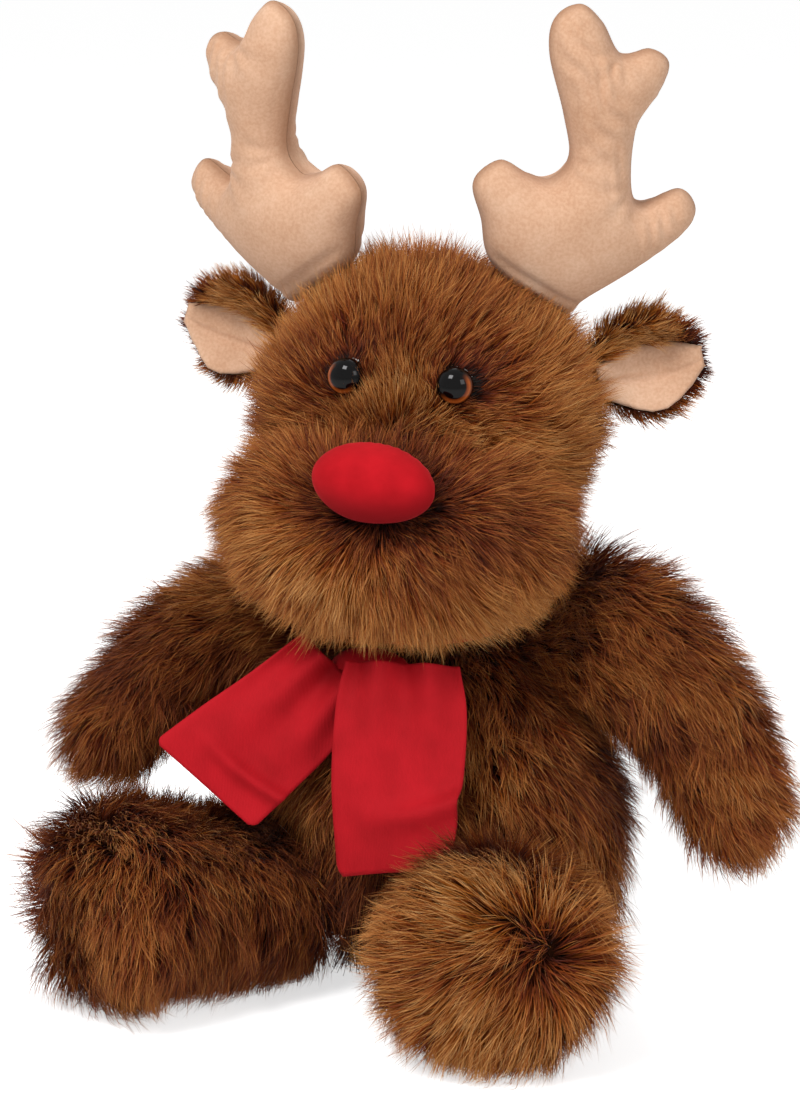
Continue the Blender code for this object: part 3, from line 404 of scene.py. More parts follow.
def pile(pieces, body, roots, outs, ways, lengths, leans, tones, clump_gap, rng, bent=None):
    """Fur strands as tapered ribbons of two quads and a triangle, gathered in clumps.

    A strand's path is its own path moved towards the path of the nearest clump's middle,
    more so towards the tip. Fine guard hairs stand in a shorter, darker and wider undercoat.
    pieces is one name, or holds (name, which) pairs, which a mask over the roots."""
    count = len(roots)
    if isinstance(pieces, str):
        pieces = ((pieces, np.ones(count, bool)),)
    under, stray = rng.uniform(size=count) < UNDERCOAT_SHARE, rng.uniform(size=count) < STRAY_SHARE
    swirl = 0.34 * patchy(roots, 0.018, count) + 0.26 * patchy(roots, 0.007, count + 1)
    rumple = 0.13 * patchy(roots, 0.010, count + 2)
    lays = combed(ways, outs)
    clumps = max(4, int(count / clump_gap))
    middles = rng.choice(count, clumps, replace=False)
    nearest = np.empty(count, int)
    for start in range(0, count, 4000):
        rel = roots[start:start + 4000, None] - roots[middles][None]
        nearest[start:start + 4000] = (rel**2).sum(2).argmin(1)
    clump_turn = rng.normal(0, 0.24, clumps)
    clump_lean = rng.normal(0, 0.12, clumps)
    clump_long = rng.normal(1, 0.08, clumps)
    own_turn = turned_about(lays, outs, clump_turn[nearest] + swirl + rng.normal(0, 0.24, count))
    lean = leans * (1 + clump_lean[nearest] + rumple) + rng.normal(0, 0.15, count)
    lean = np.where(stray, 0.72 * lean, lean)
    depth_share = np.where(under, UNDERCOAT_LENGTH_SHARE, 1)
    long = lengths * clump_long[nearest] * rng.uniform(0.70, 1.15, count) * depth_share
    paths = strand_paths(roots, outs, own_turn, long, lean)
    middle_way = turned_about(lays[middles], outs[middles], clump_turn + swirl[middles])
    middle_path = strand_paths(
        roots[middles], outs[middles], middle_way, lengths[middles] * clump_long * 1.03,
        leans[middles] * (1 + clump_lean + rumple[middles]),
    )
    gather = np.where(stray | under, 0.10, 0.32) * rng.uniform(0.5, 1.1, count)
    pull = np.array([0, 0.25, 0.62, 0.92])[None, :, None] * gather[:, None, None]
    apart = np.linalg.norm(roots - roots[middles][nearest], axis=1)
    pull = pull * np.clip(1.6 - apart / 0.006, 0.15, 1)[:, None, None]
    paths += pull * (middle_path[nearest] - paths)
    if bent is not None:
        paths = bent(paths)
    paths[:, :, 2] = np.maximum(paths[:, :, 2], 0.0006 + 0.0012 * rng.uniform(size=(count, 1)))
    along = np.gradient(paths, axis=1)
    roll = rng.normal(0, 0.5, count)
    facing = outs * np.cos(roll)[:, None] + np.cross(own_turn, outs) * np.sin(roll)[:, None]
    side = np.cross(along, facing[:, None, :])
    side /= np.linalg.norm(side, axis=2)[..., None] + 1e-12
    half = np.where(under, UNDERCOAT_WIDTH, GUARD_WIDTH) / 2 * rng.uniform(0.7, 1.25, count)
    half = half[:, None] * STRAND_WIDTHS
    left = paths[:, :3] + side[:, :3] * half[..., None]
    right = paths[:, :3] - side[:, :3] * half[..., None]
    points = np.concatenate([np.stack([left, right], 2).reshape(count, 6, 3), paths[:, 3:]], 1)
    shade = np.clip(tones + rng.normal(0, 0.11, count) - np.where(under, 0.10, 0), 0.004, 0.996)
    shade = np.where(tones < 0.1, np.clip(tones, 0.01, 0.07), np.maximum(shade, 0.15))
    v = np.array([0, 0, 0.33, 0.33, 0.67, 0.67, 1.0]) * depth_share[:, None]
    u = shade[:, None] + 0.003 * np.array([-1, 1, -1, 1, -1, 1, 0])
    corners = np.array([0, 1, 3, 2, 2, 3, 5, 4, 4, 5, 6])
    for name, which in pieces:
        picked = np.flatnonzero(which)
        n = len(picked)
        mesh = bpy.data.meshes.new(name)
        mesh.vertices.add(7 * n)
        mesh.vertices.foreach_set("co", points[picked].astype(np.float32).ravel())
        loops = (corners[None, :] + 7 * np.arange(n)[:, None]).astype(np.int32)
        mesh.loops.add(11 * n)
        mesh.loops.foreach_set("vertex_index", loops.ravel())
        mesh.polygons.add(3 * n)
        starts = (np.array([0, 4, 8])[None, :] + 11 * np.arange(n)[:, None]).astype(np.int32)
        mesh.polygons.foreach_set("loop_start", starts.ravel())
        mesh.update(calc_edges=True)
        fibre_uv = np.stack([u[picked][:, corners], v[picked][:, corners]], 2)
        layer = mesh.uv_layers.new(name="OFBake")
        layer.data.foreach_set("uv", fibre_uv.astype(np.float32).ravel())
        mesh.materials.append(fur)
        mesh.shade_smooth()
        piece = bpy.data.objects.new(name, mesh)
        bpy.context.collection.objects.link(piece)
        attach(piece, body)


ARM_TURNS = {1: math.radians(6), -1: math.radians(45)}
ARM_OUTS = {1: (-0.010, 0.014, 0.030, 0.038, 0.041, 0.041), -1: (-0.010, 0.012, 0.025, 0.031, 0.033, 0.034)}
ARM_DOWNS = (-0.002, 0.003, 0.020, 0.040, 0.060, 0.078)
ARM_RADII = (0.0265, 0.0275, 0.0265, 0.0250, 0.0240, 0.0225)
SHOULDER_SLOPE, SHOULDER_X, SHOULDER_UP = math.radians(30), 0.04988, 0.122


def shoulder_frame(sign):
    """The arm's frame: z out of the sloping shoulder, x down along the arm as it hangs."""
    z = Vector((sign * math.cos(SHOULDER_SLOPE), 0, math.sin(SHOULDER_SLOPE)))
    x = Vector((sign * math.sin(SHOULDER_SLOPE), 0, -math.cos(SHOULDER_SLOPE)))
    turn = Matrix((x, z.cross(x), z)).transposed().to_4x4()
    place = Matrix.Translation((sign * SHOULDER_X, -0.004, SHOULDER_UP)) @ turn
    return np.array(place @ Matrix.Rotation(-sign * ARM_TURNS[sign], 4, "Z"))


def placed(matrix, points):
    """Points or a grid of them, moved from a frame to the world."""
    return (points.reshape(-1, 3) @ matrix[:3, :3].T + matrix[:3, 3]).reshape(points.shape)


def seen_from(matrix, points):
    """Points of the world in the axes of a frame."""
    return (points - matrix[:3, 3]) @ matrix[:3, :3]


def arm_line(sign, steps=6):
    """The arm's middle line in the world, with its radius, from the shoulder to the paw."""
    run = smooth_line(np.stack([ARM_OUTS[sign], ARM_DOWNS, ARM_RADII], 1), steps)
    local = np.stack([run[:, 1], 0 * run[:, 0], run[:, 0]], 1)
    return placed(shoulder_frame(sign), local), run[:, 2]


def line_depth(points, line, radii):
    """How deep points lie in a tube along a line whose radius changes."""
    depth = np.full(len(points), -1.0)
    for place, radius in zip(line, radii):
        depth = np.maximum(depth, radius - np.linalg.norm(points - place, axis=1))
    return depth


ARMS = {sign: arm_line(sign) for sign in (1, -1)}

rng = np.random.default_rng(11)
stuffed(
    "body", "body", dished(body_grid(BACKING_DEPTH), DISH_RADIUS),
    dished(body_grid(BACKING_DEPTH + FABRIC), DISH_RADIUS + 0.0015), 0.7,
)
roots, outs = scattered(dished(body_grid(BACKING_DEPTH + ROOT_SINK), DISH_RADIUS), 92000, rng)
# none grow in the dishes of the hips, under the shoulders or the scarf, and few on the seat
free = (body_depth(roots) < 0.0125) | (roots[:, 2] < 0.018)
for sign in (1, -1):
    free &= (ball_depth(roots, HIP_PLACES[sign], DISH_RADIUS + 0.0015) < 0) | (roots[:, 1] > 0.012)
    free &= line_depth(roots, ARMS[sign][0][:12], ARMS[sign][1][:12] - 0.0125) < 0
free &= (roots[:, 2] > 0.012) | (outs[:, 2] > -0.85) | (rng.uniform(size=len(roots)) < 0.25)
free &= roots[:, 2] < np.where(roots[:, 1] < -0.012, 0.143, 0.150)
roots, outs = roots[free], outs[free]
# brushed down and apart, out over the floor round the seat
ways = np.stack([roots[:, 0] * 6, roots[:, 1] * 1.5, np.full(len(roots), -1.0)], 1)
ways[:, 0] += 0.35 * patchy(roots, 0.05, 3)
low = roots[:, 2] < 0.012
ways[low] = roots[low] * (1, 1, 0)
shade = drifting(roots, 0.53, 4, 5)
# painted shade darkens the pile beside the left arm and between the legs, and the pile is shorter under the
# chin
shade -= 0.08 * np.clip(line_depth(roots, *ARMS[1]) / 0.02 + 1, 0, 1)
shade -= 0.24 * np.clip((0.085 - roots[:, 2]) / 0.03, 0, 1) * (roots[:, 1] < -0.03) * (roots[:, 0] < 0.03)
long = np.where(low, 0.017, BODY_PILE) * (1 + 0.12 * patchy(roots, 0.02, 6))
long *= 1 + 0.3 * ~low * np.clip((0.045 - roots[:, 2]) / 0.02, 0, 1)
neck = np.clip((roots[:, 2] - 0.118) / 0.02, 0, 1)
long *= 1 - np.where(roots[:, 1] < -0.012, 0.6, 0.2) * neck
angle = np.arctan2(roots[:, 1], roots[:, 0])
pile(
    (
        ("body_pile_front", np.abs(angle + math.pi / 2) < 1.05),
        ("body_pile_left", (np.abs(angle + math.pi / 2) >= 1.05) & (roots[:, 0] >= 0)),
        ("body_pile_right", (np.abs(angle + math.pi / 2) >= 1.05) & (roots[:, 0] < 0)),
    ),
    "body", roots, outs, ways, long, np.full(len(roots), FUR_LEAN), shade, CLUMP_GAP, rng,
)


# Arms: tubes of the same fur over a soft filling, a little narrower to the round paw. Each is sewn
# flat on a sloping shoulder and hangs from it, and its pile is brushed down to the paw.
SIDES = (("left", 1), ("right", -1))
ARM_BACKING_DEPTH, ARM_START = 0.0118, -0.0085
SHOULDER_FILL, LIMB_PILE = {1: 0.0150, -1: 0.0035}, 0.0200


def arm_grid(sign, inset, start, columns=56):
    """Loops square to the arm's curved middle line, fuller on the outer side, with a round paw end."""
    run = smooth_line(np.stack([ARM_OUTS[sign], ARM_DOWNS, ARM_RADII], 1), 6)
    run = run[run[:, 0] >= start]
    middle, radii = run[:, :2], run[:, 2] - inset
    down = run[:, 0] + run[:, 1]
    fuller = np.interp(down, (-0.008, 0.016, 0.060, 0.105, 0.125), (0, 1, 0.8, 0.5, 0.3))
    fuller = SHOULDER_FILL[sign] * fuller
    along = unit(np.gradient(middle, axis=0))
    turn = np.linspace(0, np.pi / 2 * 0.97, 9)[1:]
    middle = np.vstack([middle, middle[-1] + along[-1] * radii[-1] * np.sin(turn)[:, None]])
    radii = np.concatenate([radii, radii[-1] * np.cos(turn)])
    fuller = np.concatenate([fuller, fuller[-1] * np.cos(turn)])
    along = np.vstack([along, np.repeat(along[-1:], len(turn), 0)])
    a = round_angles(columns)
    across = radii[:, None] * np.cos(a) + fuller[:, None] * np.clip(np.cos(a), 0, 1) ** 1.5
    local = np.stack([
        middle[:, 1:] - along[:, :1] * across,
        radii[:, None] * np.sin(a),
        middle[:, :1] + along[:, 1:] * across,
    ], 2)
    return placed(shoulder_frame(sign), local)


for side, sign in SIDES:
    rng = np.random.default_rng(20 + sign)
    stuffed(
        f"{side}_arm", f"{side}_arm", arm_grid(sign, ARM_BACKING_DEPTH, ARM_START),
        arm_grid(sign, ARM_BACKING_DEPTH + FABRIC, ARM_START + 0.001), 0.7,
    )
    roots, outs = scattered(arm_grid(sign, ARM_BACKING_DEPTH + ROOT_SINK, ARM_START), 36000, rng)
    turn = shoulder_frame(sign)
    local = seen_from(turn, roots)
    line, _ = ARMS[sign]
    spot = np.linalg.norm(roots[:, None] - line[None], axis=2).argmin(1)
    run_way = unit(np.gradient(line, axis=0))[spot]
    ways = run_way + np.array((0, 0, -0.25))
    ways = ways + 0.25 * patchy(roots, 0.04, 7)[:, None] * np.cross(run_way, outs)
    free = (body_depth(roots) < 0.007) & (local[:, 2] > -0.006)
    roots, outs, ways, local = roots[free], outs[free], ways[free], local[free]
    shade = drifting(roots, 0.50 if sign > 0 else 0.41, 8 + sign, 9)
    shade += 0.16 * np.clip((local[:, 0] - 0.045) / 0.04, 0, 1)
    long = LIMB_PILE * (1 + 0.12 * patchy(roots, 0.02, 10))
    # by the shoulder the pile on the arm's upward facing top is longer, and painted light lightens its tone
    upper = np.clip(outs[:, 2], 0, 1) * np.clip(1 - local[:, 0] / 0.03, 0, 1)
    long *= 1 + 0.22 * upper
    shade += 0.08 * upper
    pile(
        f"{side}_arm_pile", f"{side}_arm", roots, outs, ways,
        long, FUR_LEAN - 0.16 * upper, shade, CLUMP_GAP, rng,
    )


# Legs: short tubes of the same fur, filled more firmly, that widen from the hip to a round foot.
# A sole panel of fur is sewn into the foot's end, and the leg's round top turns in the body's dish.
THIGH_FILL = 0.0080
FOOT_MIDDLE_X, FOOT_MIDDLE_UP, SOLE_START = 0.052, 0.039, 0.062
WHORL, PARTING_Y = np.array((0.085, 0.011, 0.050)), -0.024
LEG_TURNS = {1: math.radians(20), -1: math.radians(26)}
LEG_LINE = np.array([
    (0.0, 0.033), (0.008, 0.0305), (0.020, 0.0325), (0.034, 0.0360), (0.046, 0.0400),
    (0.058, 0.0420), (0.069, 0.0415), (0.077, 0.0375), (0.084, 0.024),
])


def hip_frame(sign):
    """The leg's frame: z up, x along the leg from the hip to the sole."""
    place = Matrix.Translation((*HIP_PLACES[sign][:2], 0))
    return np.array(place @ Matrix.Rotation(sign * LEG_TURNS[sign] - math.pi / 2, 4, "Z"))


def leg_grid(sign, inset, columns=72):
    """Upright loops along the leg, its foot resting on the floor, with a domed sole."""
    ball = np.linspace(0.12, np.pi / 2, 9)[:-1]
    hip = np.stack([-HIP_RADIUS * np.cos(ball), HIP_RADIUS * np.sin(ball)], 1)
    run = smooth_line(LEG_LINE[:8], 6)
    dome = np.linspace(0, 1, 10)[1:]
    sole = np.stack([
        LEG_LINE[7, 0] + 0.011 * np.sin(dome * np.pi / 2),
        LEG_LINE[7, 1] * np.maximum(np.cos(dome * np.pi / 2), 0.0) ** 0.7,
    ], 1)
    rows = np.vstack([hip, run, sole])
    x, r = rows[:, 0], rows[:, 1]
    slope = np.gradient(r) / (np.hypot(np.gradient(x), np.gradient(r)) + 1e-9)
    x = x + inset * slope
    inset = inset * np.interp(x, (-0.01, 0.012, 0.045), (0.25, 0.25, 1))
    inner = np.maximum(r - inset * np.sqrt(np.maximum(1 - slope**2, 0)), 0.0004)
    up = np.interp(x, (0, 0.02, 0.058, 0.066, 0.09), (0.0325, 0.0328, 0.0412, 0.0410, 0.0372))
    a = round_angles(columns)
    thigh = -sign * THIGH_FILL * np.interp(x, (-0.01, 0.0, 0.02, 0.05), (0, 1, 1, 0))[:, None]
    thigh = thigh * np.clip(-sign * np.cos(a), 0, 1)
    y, z = inner[:, None] * np.cos(a) + thigh, inner[:, None] * np.sin(a) + up[:, None]
    local = np.stack([x[:, None] + 0 * a, y, z], 2)
    local[..., 2] = np.maximum(local[..., 2], 0.0008)
    return placed(hip_frame(sign), local)


for side, sign in SIDES:
    rng = np.random.default_rng(30 + sign)
    stuffed(
        f"{side}_leg", f"{side}_leg", leg_grid(sign, BACKING_DEPTH),
        leg_grid(sign, BACKING_DEPTH + FABRIC), 0.8, f"{side}_sole_panel",
    )
    roots, outs = scattered(leg_grid(sign, BACKING_DEPTH + ROOT_SINK), 46000, rng)
    turn = hip_frame(sign)
    local = seen_from(turn, roots)
    # the pile fans out evenly where the sole is sewn in
    fan = local - np.stack([
        np.clip(local[:, 0], 0, FOOT_MIDDLE_X), 0 * local[:, 0], 0 * local[:, 0] + FOOT_MIDDLE_UP,
    ], 1)
    fan = unit(fan) @ turn[:3, :3].T
    free = (body_depth(roots) < 0.001) & (local[:, 0] > -0.012)
    free &= (np.sum(outs * fan, axis=1) > 0.4) | (local[:, 0] < 0.045)
    roots, outs, local, fan = roots[free], outs[free], local[free], fan[free]
    rim = 0.6 * np.exp(-(((local[:, 0] - 0.070) / 0.010) ** 2))[:, None]
    outs = unit(outs * (1 - rim) + rim * fan)
    x_way, y_way = turn[:3, 0], turn[:3, 1]
    whorl = WHORL
    sleeve = x_way * 0.75 + np.array((0, 0, -0.6)) + 0.3 * patchy(roots, 0.04, 12)[:, None] * y_way
    radial = (local - whorl) @ turn[:3, :3].T
    radial = radial + 0.22 * np.linalg.norm(radial, axis=1)[:, None] * (
        patchy(roots, 0.016, 17)[:, None] * y_way + patchy(roots, 0.016, 18)[:, None] * (0, 0, 1))
    if sign < 0:
        # this leg is brushed round from a parting that runs along its outer side and down the foot
        past = local[:, 1] - PARTING_Y + 0.004 * patchy(roots, 0.02, 16)
        over = np.clip(past / 0.02 + 0.5, 0, 1)[:, None]
        sleeve = np.cross(outs, x_way) * over + (1 - over) * ((0, 0, -1) - 0.4 * y_way)
        sleeve = sleeve + (0.3 + 0.3 * patchy(roots, 0.04, 12)[:, None]) * x_way
        radial = np.where((past > 0)[:, None], 0.75 * y_way + (0, 0, -0.65), (0, 0, -0.2) - y_way)
        whorl = np.stack([WHORL[0] + 0 * past, PARTING_Y + 0 * past, local[:, 2]], 1)
    on_sole = np.clip((local[:, 0] - SOLE_START) / 0.010, 0, 1)[:, None]
    # round the whorl and the parting the locks lie tousled over each other, so that no root shows
    near = (0.25 if sign < 0 else 1) * np.exp(-np.sum((local - whorl) ** 2, axis=1) / 0.012**2)[:, None]
    tousled = (1.3 * patchy(roots, 0.006, 19) + rng.normal(0, 0.5, len(roots)))[:, None] * y_way
    tousled = tousled + (1.3 * patchy(roots, 0.006, 20) + rng.normal(0, 0.5, len(roots)))[:, None] * (0, 0, 1)
    radial = radial / (np.linalg.norm(radial, axis=1)[:, None] + 1e-6) + near * tousled
    radial = radial + max(sign, 0) * (np.array((0, 0, -0.3)) - 0.45 * y_way)
    ways = sleeve * (1 - on_sole) + on_sole * radial
    shade = drifting(roots, 0.55, 13 + sign, 14, 0.09)
    # painted light lifts the tone of the soles, the left one more
    shade += (0.22 if sign > 0 else 0.10) * on_sole[:, 0]
    # painted shade darkens the hollow round the whorl
    shade -= 0.05 * np.exp(-np.linalg.norm(local - whorl, axis=1) ** 2 / 0.010**2)
    # painted shade darkens the leg towards the hip, where it tucks into the body's dish, and the right leg is
    # a little darker all over
    shade -= 0.14 * np.clip(1 - local[:, 0] / 0.03, 0, 1) + (0.05 if sign < 0 else 0)
    # painted light lifts the tone of the pile near the floor
    shade += 0.10 * np.clip(1 - roots[:, 2] / 0.03, 0, 1)
    long = LIMB_PILE * (1 + 0.12 * patchy(roots, 0.02, 15)) * (0.8 + 0.2 * np.clip(local[:, 0] / 0.03, 0, 1))
    long *= 1 + on_sole[:, 0] * 0.25 * np.clip(sign * local[:, 1] / 0.03 - 0.2 * sign, 0, 1)
    pile(
        f"{side}_leg_pile", f"{side}_leg", roots, outs, ways,
        long, 1.04 - 0.06 * on_sole[:, 0], shade, CLUMP_GAP, rng,
    )


# Head: an egg of the same fur over a firm filling, closed at the neck and sewn on the body there.
# The eyes are locked in it, and the muzzle, the ears and the antlers are sewn on it.
HEAD_RADII, HEAD_CENTRE = np.array((0.064, 0.058, 0.060)), np.array((0, 0, 0.0535))
MUZZLE_RADII, MUZZLE_CENTRE = np.array((0.066, 0.052, 0.041)), np.array((0, -0.040, 0.020))
head_place = np.array(
    Matrix.Translation((-0.004, -0.004, 0.158))
    @ Matrix.Rotation(math.radians(11), 4, "Z") @ Matrix.Rotation(math.radians(2.5), 4, "Y")
)
head_turn = head_place[:3, :3].T


def egg_grid(centre, radii, inset, rows=56, columns=96):
    """An ellipsoid moved in by inset, its poles at the top and the bottom."""
    polar = np.linspace(0.02, np.pi - 0.02, rows)[:, None]
    a = round_angles(columns)[None, :]
    unit = np.stack([np.sin(polar) * np.cos(a), np.sin(polar) * np.sin(a), np.cos(polar) + 0 * a], 2)
    return centre + unit * (radii - inset)


def egg_depth(points, centre, radii):
    """How deep points in the head's frame lie in an ellipsoid."""
    return (1 - np.linalg.norm((points - centre) / radii, axis=-1)) * radii.mean()


def over_throat(points):
    """Lifts points in the head's frame off the cone that the neck and the scarf need."""
    reach = np.hypot(points[..., 0], points[..., 1])
    lowest = np.where(reach < 0.0335, 0.001, 0.001 - (reach - 0.0335) * 0.912)
    lowest = np.where(reach > 0.062, -1, lowest)
    return np.concatenate([points[..., :2], np.maximum(points[..., 2], lowest)[..., None]], -1)


HEAD_PILE, FACE_CLUMP_GAP = 0.0205, 26
EYE_OUT, EYE_UP = 0.021, 0.0765
EYES = [np.array((sign * EYE_OUT, -0.0508, EYE_UP)) for sign in (1, -1)]
NOSE_CENTRE, NOSE_RADII = np.array((0, -0.084, 0.0455)), np.array((0.0222, 0.0140, 0.0138))


def socketed(points):
    """Lifts head points near the eyes out along the egg, by a bell curve, to hold the shanks."""
    out = unit((points - HEAD_CENTRE) / HEAD_RADII**2)
    for eye in EYES:
        near = np.exp(-((np.linalg.norm(points - eye, axis=-1) - 0.006) / 0.008) ** 2)[..., None]
        near = np.where(np.linalg.norm(points - eye, axis=-1)[..., None] < 0.006, 1, near)
        points = points + 0.0065 * near * out
    return points


def clear_of_chin(paths):
    """Keeps strands off the neck's cone, in the head's frame."""
    return placed(head_place, over_throat(seen_from(head_place, paths)))


rng = np.random.default_rng(40)
grid = socketed(over_throat(egg_grid(HEAD_CENTRE, HEAD_RADII, BACKING_DEPTH, 84, 144)))
inner = over_throat(egg_grid(HEAD_CENTRE, HEAD_RADII, BACKING_DEPTH + FABRIC)) + (0, 0, 0.0004)
stuffed("head", "head", placed(head_place, grid), placed(head_place, inner), 0.8)
local_grid = socketed(egg_grid(HEAD_CENTRE, HEAD_RADII, BACKING_DEPTH + ROOT_SINK, 84, 144))
roots, outs = scattered(local_grid, 97000, rng)
# bare under the muzzle and the neck, and round the eyes' rims
free = egg_depth(roots, MUZZLE_CENTRE, MUZZLE_RADII - 0.006) < 0
free &= np.hypot(roots[:, 0], roots[:, 1]) > np.where(roots[:, 2] < 0.02, 0.027, 0)
eye_gap = np.min([np.linalg.norm(roots - eye, axis=1) for eye in EYES], 0)
free &= eye_gap > 0.0075
roots, outs, eye_gap = roots[free], outs[free], eye_gap[free]
ways = unit(roots - np.array((0, -0.075, 0.040)))
# brushed up and over the crown in front, and down behind and under the cheeks
down = np.clip(roots[:, 1] / 0.03 + 0.3, 0, 1)[:, None]
low = np.clip((0.036 - roots[:, 2]) / 0.02, 0, 1)
ways = ways * (1 - down) + down * np.array((0, 0.25, -1))
ways[:, 2] -= 1.5 * low
for eye in EYES:
    near = np.exp(-((np.linalg.norm(roots - eye, axis=1) / 0.012) ** 2))[:, None]
    gone = unit(roots - eye)
    # a lock from the bridge of the nose hangs over the inner corner of the right eye
    lock = np.clip(gone @ (0.9, 0, -0.45) - 0.3, 0, 0.7)[:, None] / 0.7 * (eye[0] < 0)
    ways = ways * (1 - 0.6 * near) + near * (0.8 - 1.5 * lock) * gone
shade = drifting(roots, 0.58, 41, 42)
shade += 0.22 * np.exp(-((np.linalg.norm(roots - (0, -0.056, 0.066), axis=1) / 0.015) ** 2))
long = HEAD_PILE * (1 + 0.10 * patchy(roots, 0.02, 44)) * (1 + (0.35 + 0.25 * (roots[:, 1] > 0.01)) * low)
lock = np.clip(unit(roots - EYES[1]) @ (0.9, 0, -0.45) - 0.3, 0, 0.7) / 0.7
long *= np.clip((eye_gap - 0.002) / 0.024, 0.24 + 0.28 * lock, 1)
lean = 0.94 + np.clip(0.34 - eye_gap * 18, 0, 0.3) - 0.3 * low
lean -= 0.3 * lock * (np.linalg.norm(roots - EYES[1], axis=1) < 0.013)
# the pile is trimmed and sprayed near black round each eye, more so on the outer side
for sign, eye in zip((1, -1), EYES):
    gone = roots - eye
    reach = np.linalg.norm(gone, axis=1) + 0.0016 * patchy(roots, 0.003, 43)
    outer = (gone @ (sign * 0.8, 0.3, 0.45)) / reach
    shade -= 0.24 * np.exp(-((np.linalg.norm(gone - (sign * 0.006, 0, 0.003), axis=1) / 0.019) ** 2))
    sprayed = (reach < 0.0100 + 0.0040 * np.clip(outer, 0, 1)) & (outer > -0.35)
    shade = np.where(sprayed, np.where(rng.uniform(size=len(roots)) < 0.75, 0.04, 0.22), shade)
    long = np.where(sprayed, np.minimum(long, 0.0058), long)
    lean = np.where(sprayed, 1.1, lean)
back_half = roots[:, 1] >= 0.004
pile(
    (
        ("head_pile_front", ~back_half & (roots[:, 0] >= 0)),
        ("head_pile_front_right", ~back_half & (roots[:, 0] < 0)),
        ("head_pile_back", back_half & (roots[:, 0] >= 0)),
        ("head_pile_back_right", back_half & (roots[:, 0] < 0)),
    ),
    "head", placed(head_place, roots), outs @ head_turn, ways @ head_turn,
    long, lean, shade, FACE_CLUMP_GAP, rng, bent=clear_of_chin,
)

# Muzzle: a wide egg of the same fur with its own filling, sewn on the front of the head. Its pile
# is brushed out from the nose all round and hangs down at the chin.
rng = np.random.default_rng(50)
grid = over_throat(egg_grid(MUZZLE_CENTRE, MUZZLE_RADII, BACKING_DEPTH))
inner = over_throat(egg_grid(MUZZLE_CENTRE, MUZZLE_RADII, BACKING_DEPTH + FABRIC)) + (0, 0, 0.0004)
stuffed("muzzle", "head", placed(head_place, grid), placed(head_place, inner), 0.8)
roots, outs = scattered(egg_grid(MUZZLE_CENTRE, MUZZLE_RADII, BACKING_DEPTH + ROOT_SINK), 84000, rng)
free = egg_depth(roots, HEAD_CENTRE, HEAD_RADII - 0.007) < 0
free &= egg_depth(roots, NOSE_CENTRE, NOSE_RADII + 0.0005) < 0
free &= (roots[:, 2] > over_throat(roots)[:, 2] - 0.0005)
roots, outs = roots[free], outs[free]
ways = roots - np.array((0, -0.090, 0.038))
ways[:, 2] *= 1.15
ways = unit(ways)
ways[:, 2] -= 0.30 * (roots[:, 2] < 0.045)
ways[:, 0] += 0.25 * patchy(roots, 0.03, 51)
shade = drifting(roots, 0.58, 52, 53, 0.09)
shade += 0.16 * np.clip((0.010 - roots[:, 2]) / 0.02, 0, 1)
nose_gap = -egg_depth(roots, NOSE_CENTRE, NOSE_RADII)
# painted shade darkens the pile round the rim of the nose
shade -= 0.25 * np.clip(1 - nose_gap / 0.010, 0, 1)
long = HEAD_PILE * (1 + 0.10 * patchy(roots, 0.02, 54)) * np.clip(0.45 + nose_gap / 0.028, 0.45, 1)
pile(
    (
        ("muzzle_pile_left", (roots[:, 0] >= 0)),
        ("muzzle_pile_right", (roots[:, 0] < 0)),
    ),
    "head", placed(head_place, roots), outs @ head_turn, ways @ head_turn,
    long, np.full(len(roots), 0.97), shade, FACE_CLUMP_GAP, rng, bent=clear_of_chin,
)


# Nose: a small stuffed ellipsoid of red velour, sewn on over the muzzle.
# The nap is short and matt with a soft bloom, and painted shade turns it dark red underneath.
NOSE_TILT, PUCKERS, PUCKER_HEIGHT = math.radians(-4), 26, 0.0005
velour, tree, shader, place, nap = mottled("red_velour", 90, 4, ("a50813", "bb0f1b"), {
    "Roughness": 0.85, "Specular IOR Level": 0.15,
    "Sheen Weight": 0.28, "Sheen Roughness": 0.3, "Sheen Tint": linear("e85a5a"),
})
height = add_node(tree, "SeparateXYZ", links={0: place})
# painted shade: the velour turns dark red towards the nose's underside
under = eased(tree, height.outputs[2], 0.207, 0.191)
underside_painted_shade = add_node(tree, "Mix", sockets={7: linear("84050f")}, links={0: under, 6: nap}, data_type="RGBA")
tree.links.new(underside_painted_shade.outputs[2], shader.inputs["Base Color"])


def roughened(tree, shader, height, strength, distance):
    """Gives a shader bumps of a height field, up to a distance in metres."""
    sockets = {"Strength": strength, "Distance": distance}
    bump = add_node(tree, "Bump", sockets=sockets, links={"Height": height})
    tree.links.new(bump.outputs[0], shader.inputs["Normal"])


grain = add_node(tree, "TexNoise", sockets={"Scale": 1400, "Detail": 2}, links={0: place})
roughened(tree, shader, grain.outputs[0], 0.25, 0.0002)

nose_turn = np.array(Matrix.Rotation(NOSE_TILT, 3, "Y"))
grid = egg_grid(np.zeros(3), NOSE_RADII, 0, 48, 72) @ nose_turn + NOSE_CENTRE
sewn = np.clip((grid[..., 1] - NOSE_CENTRE[1]) / NOSE_RADII[1], 0, 1)
pucker = PUCKER_HEIGHT * sewn * np.sin(PUCKERS * np.arctan2(grid[..., 2] - NOSE_CENTRE[2], grid[..., 0]))
pucker += 0.00035 * patchy(grid.reshape(-1, 3), 0.008, 58).reshape(pucker.shape)
grid = grid + pucker[..., None] * facing_out(grid)
nose = backing("nose_cushion", "head", placed(head_place, grid), velour)
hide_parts("nose_cover")


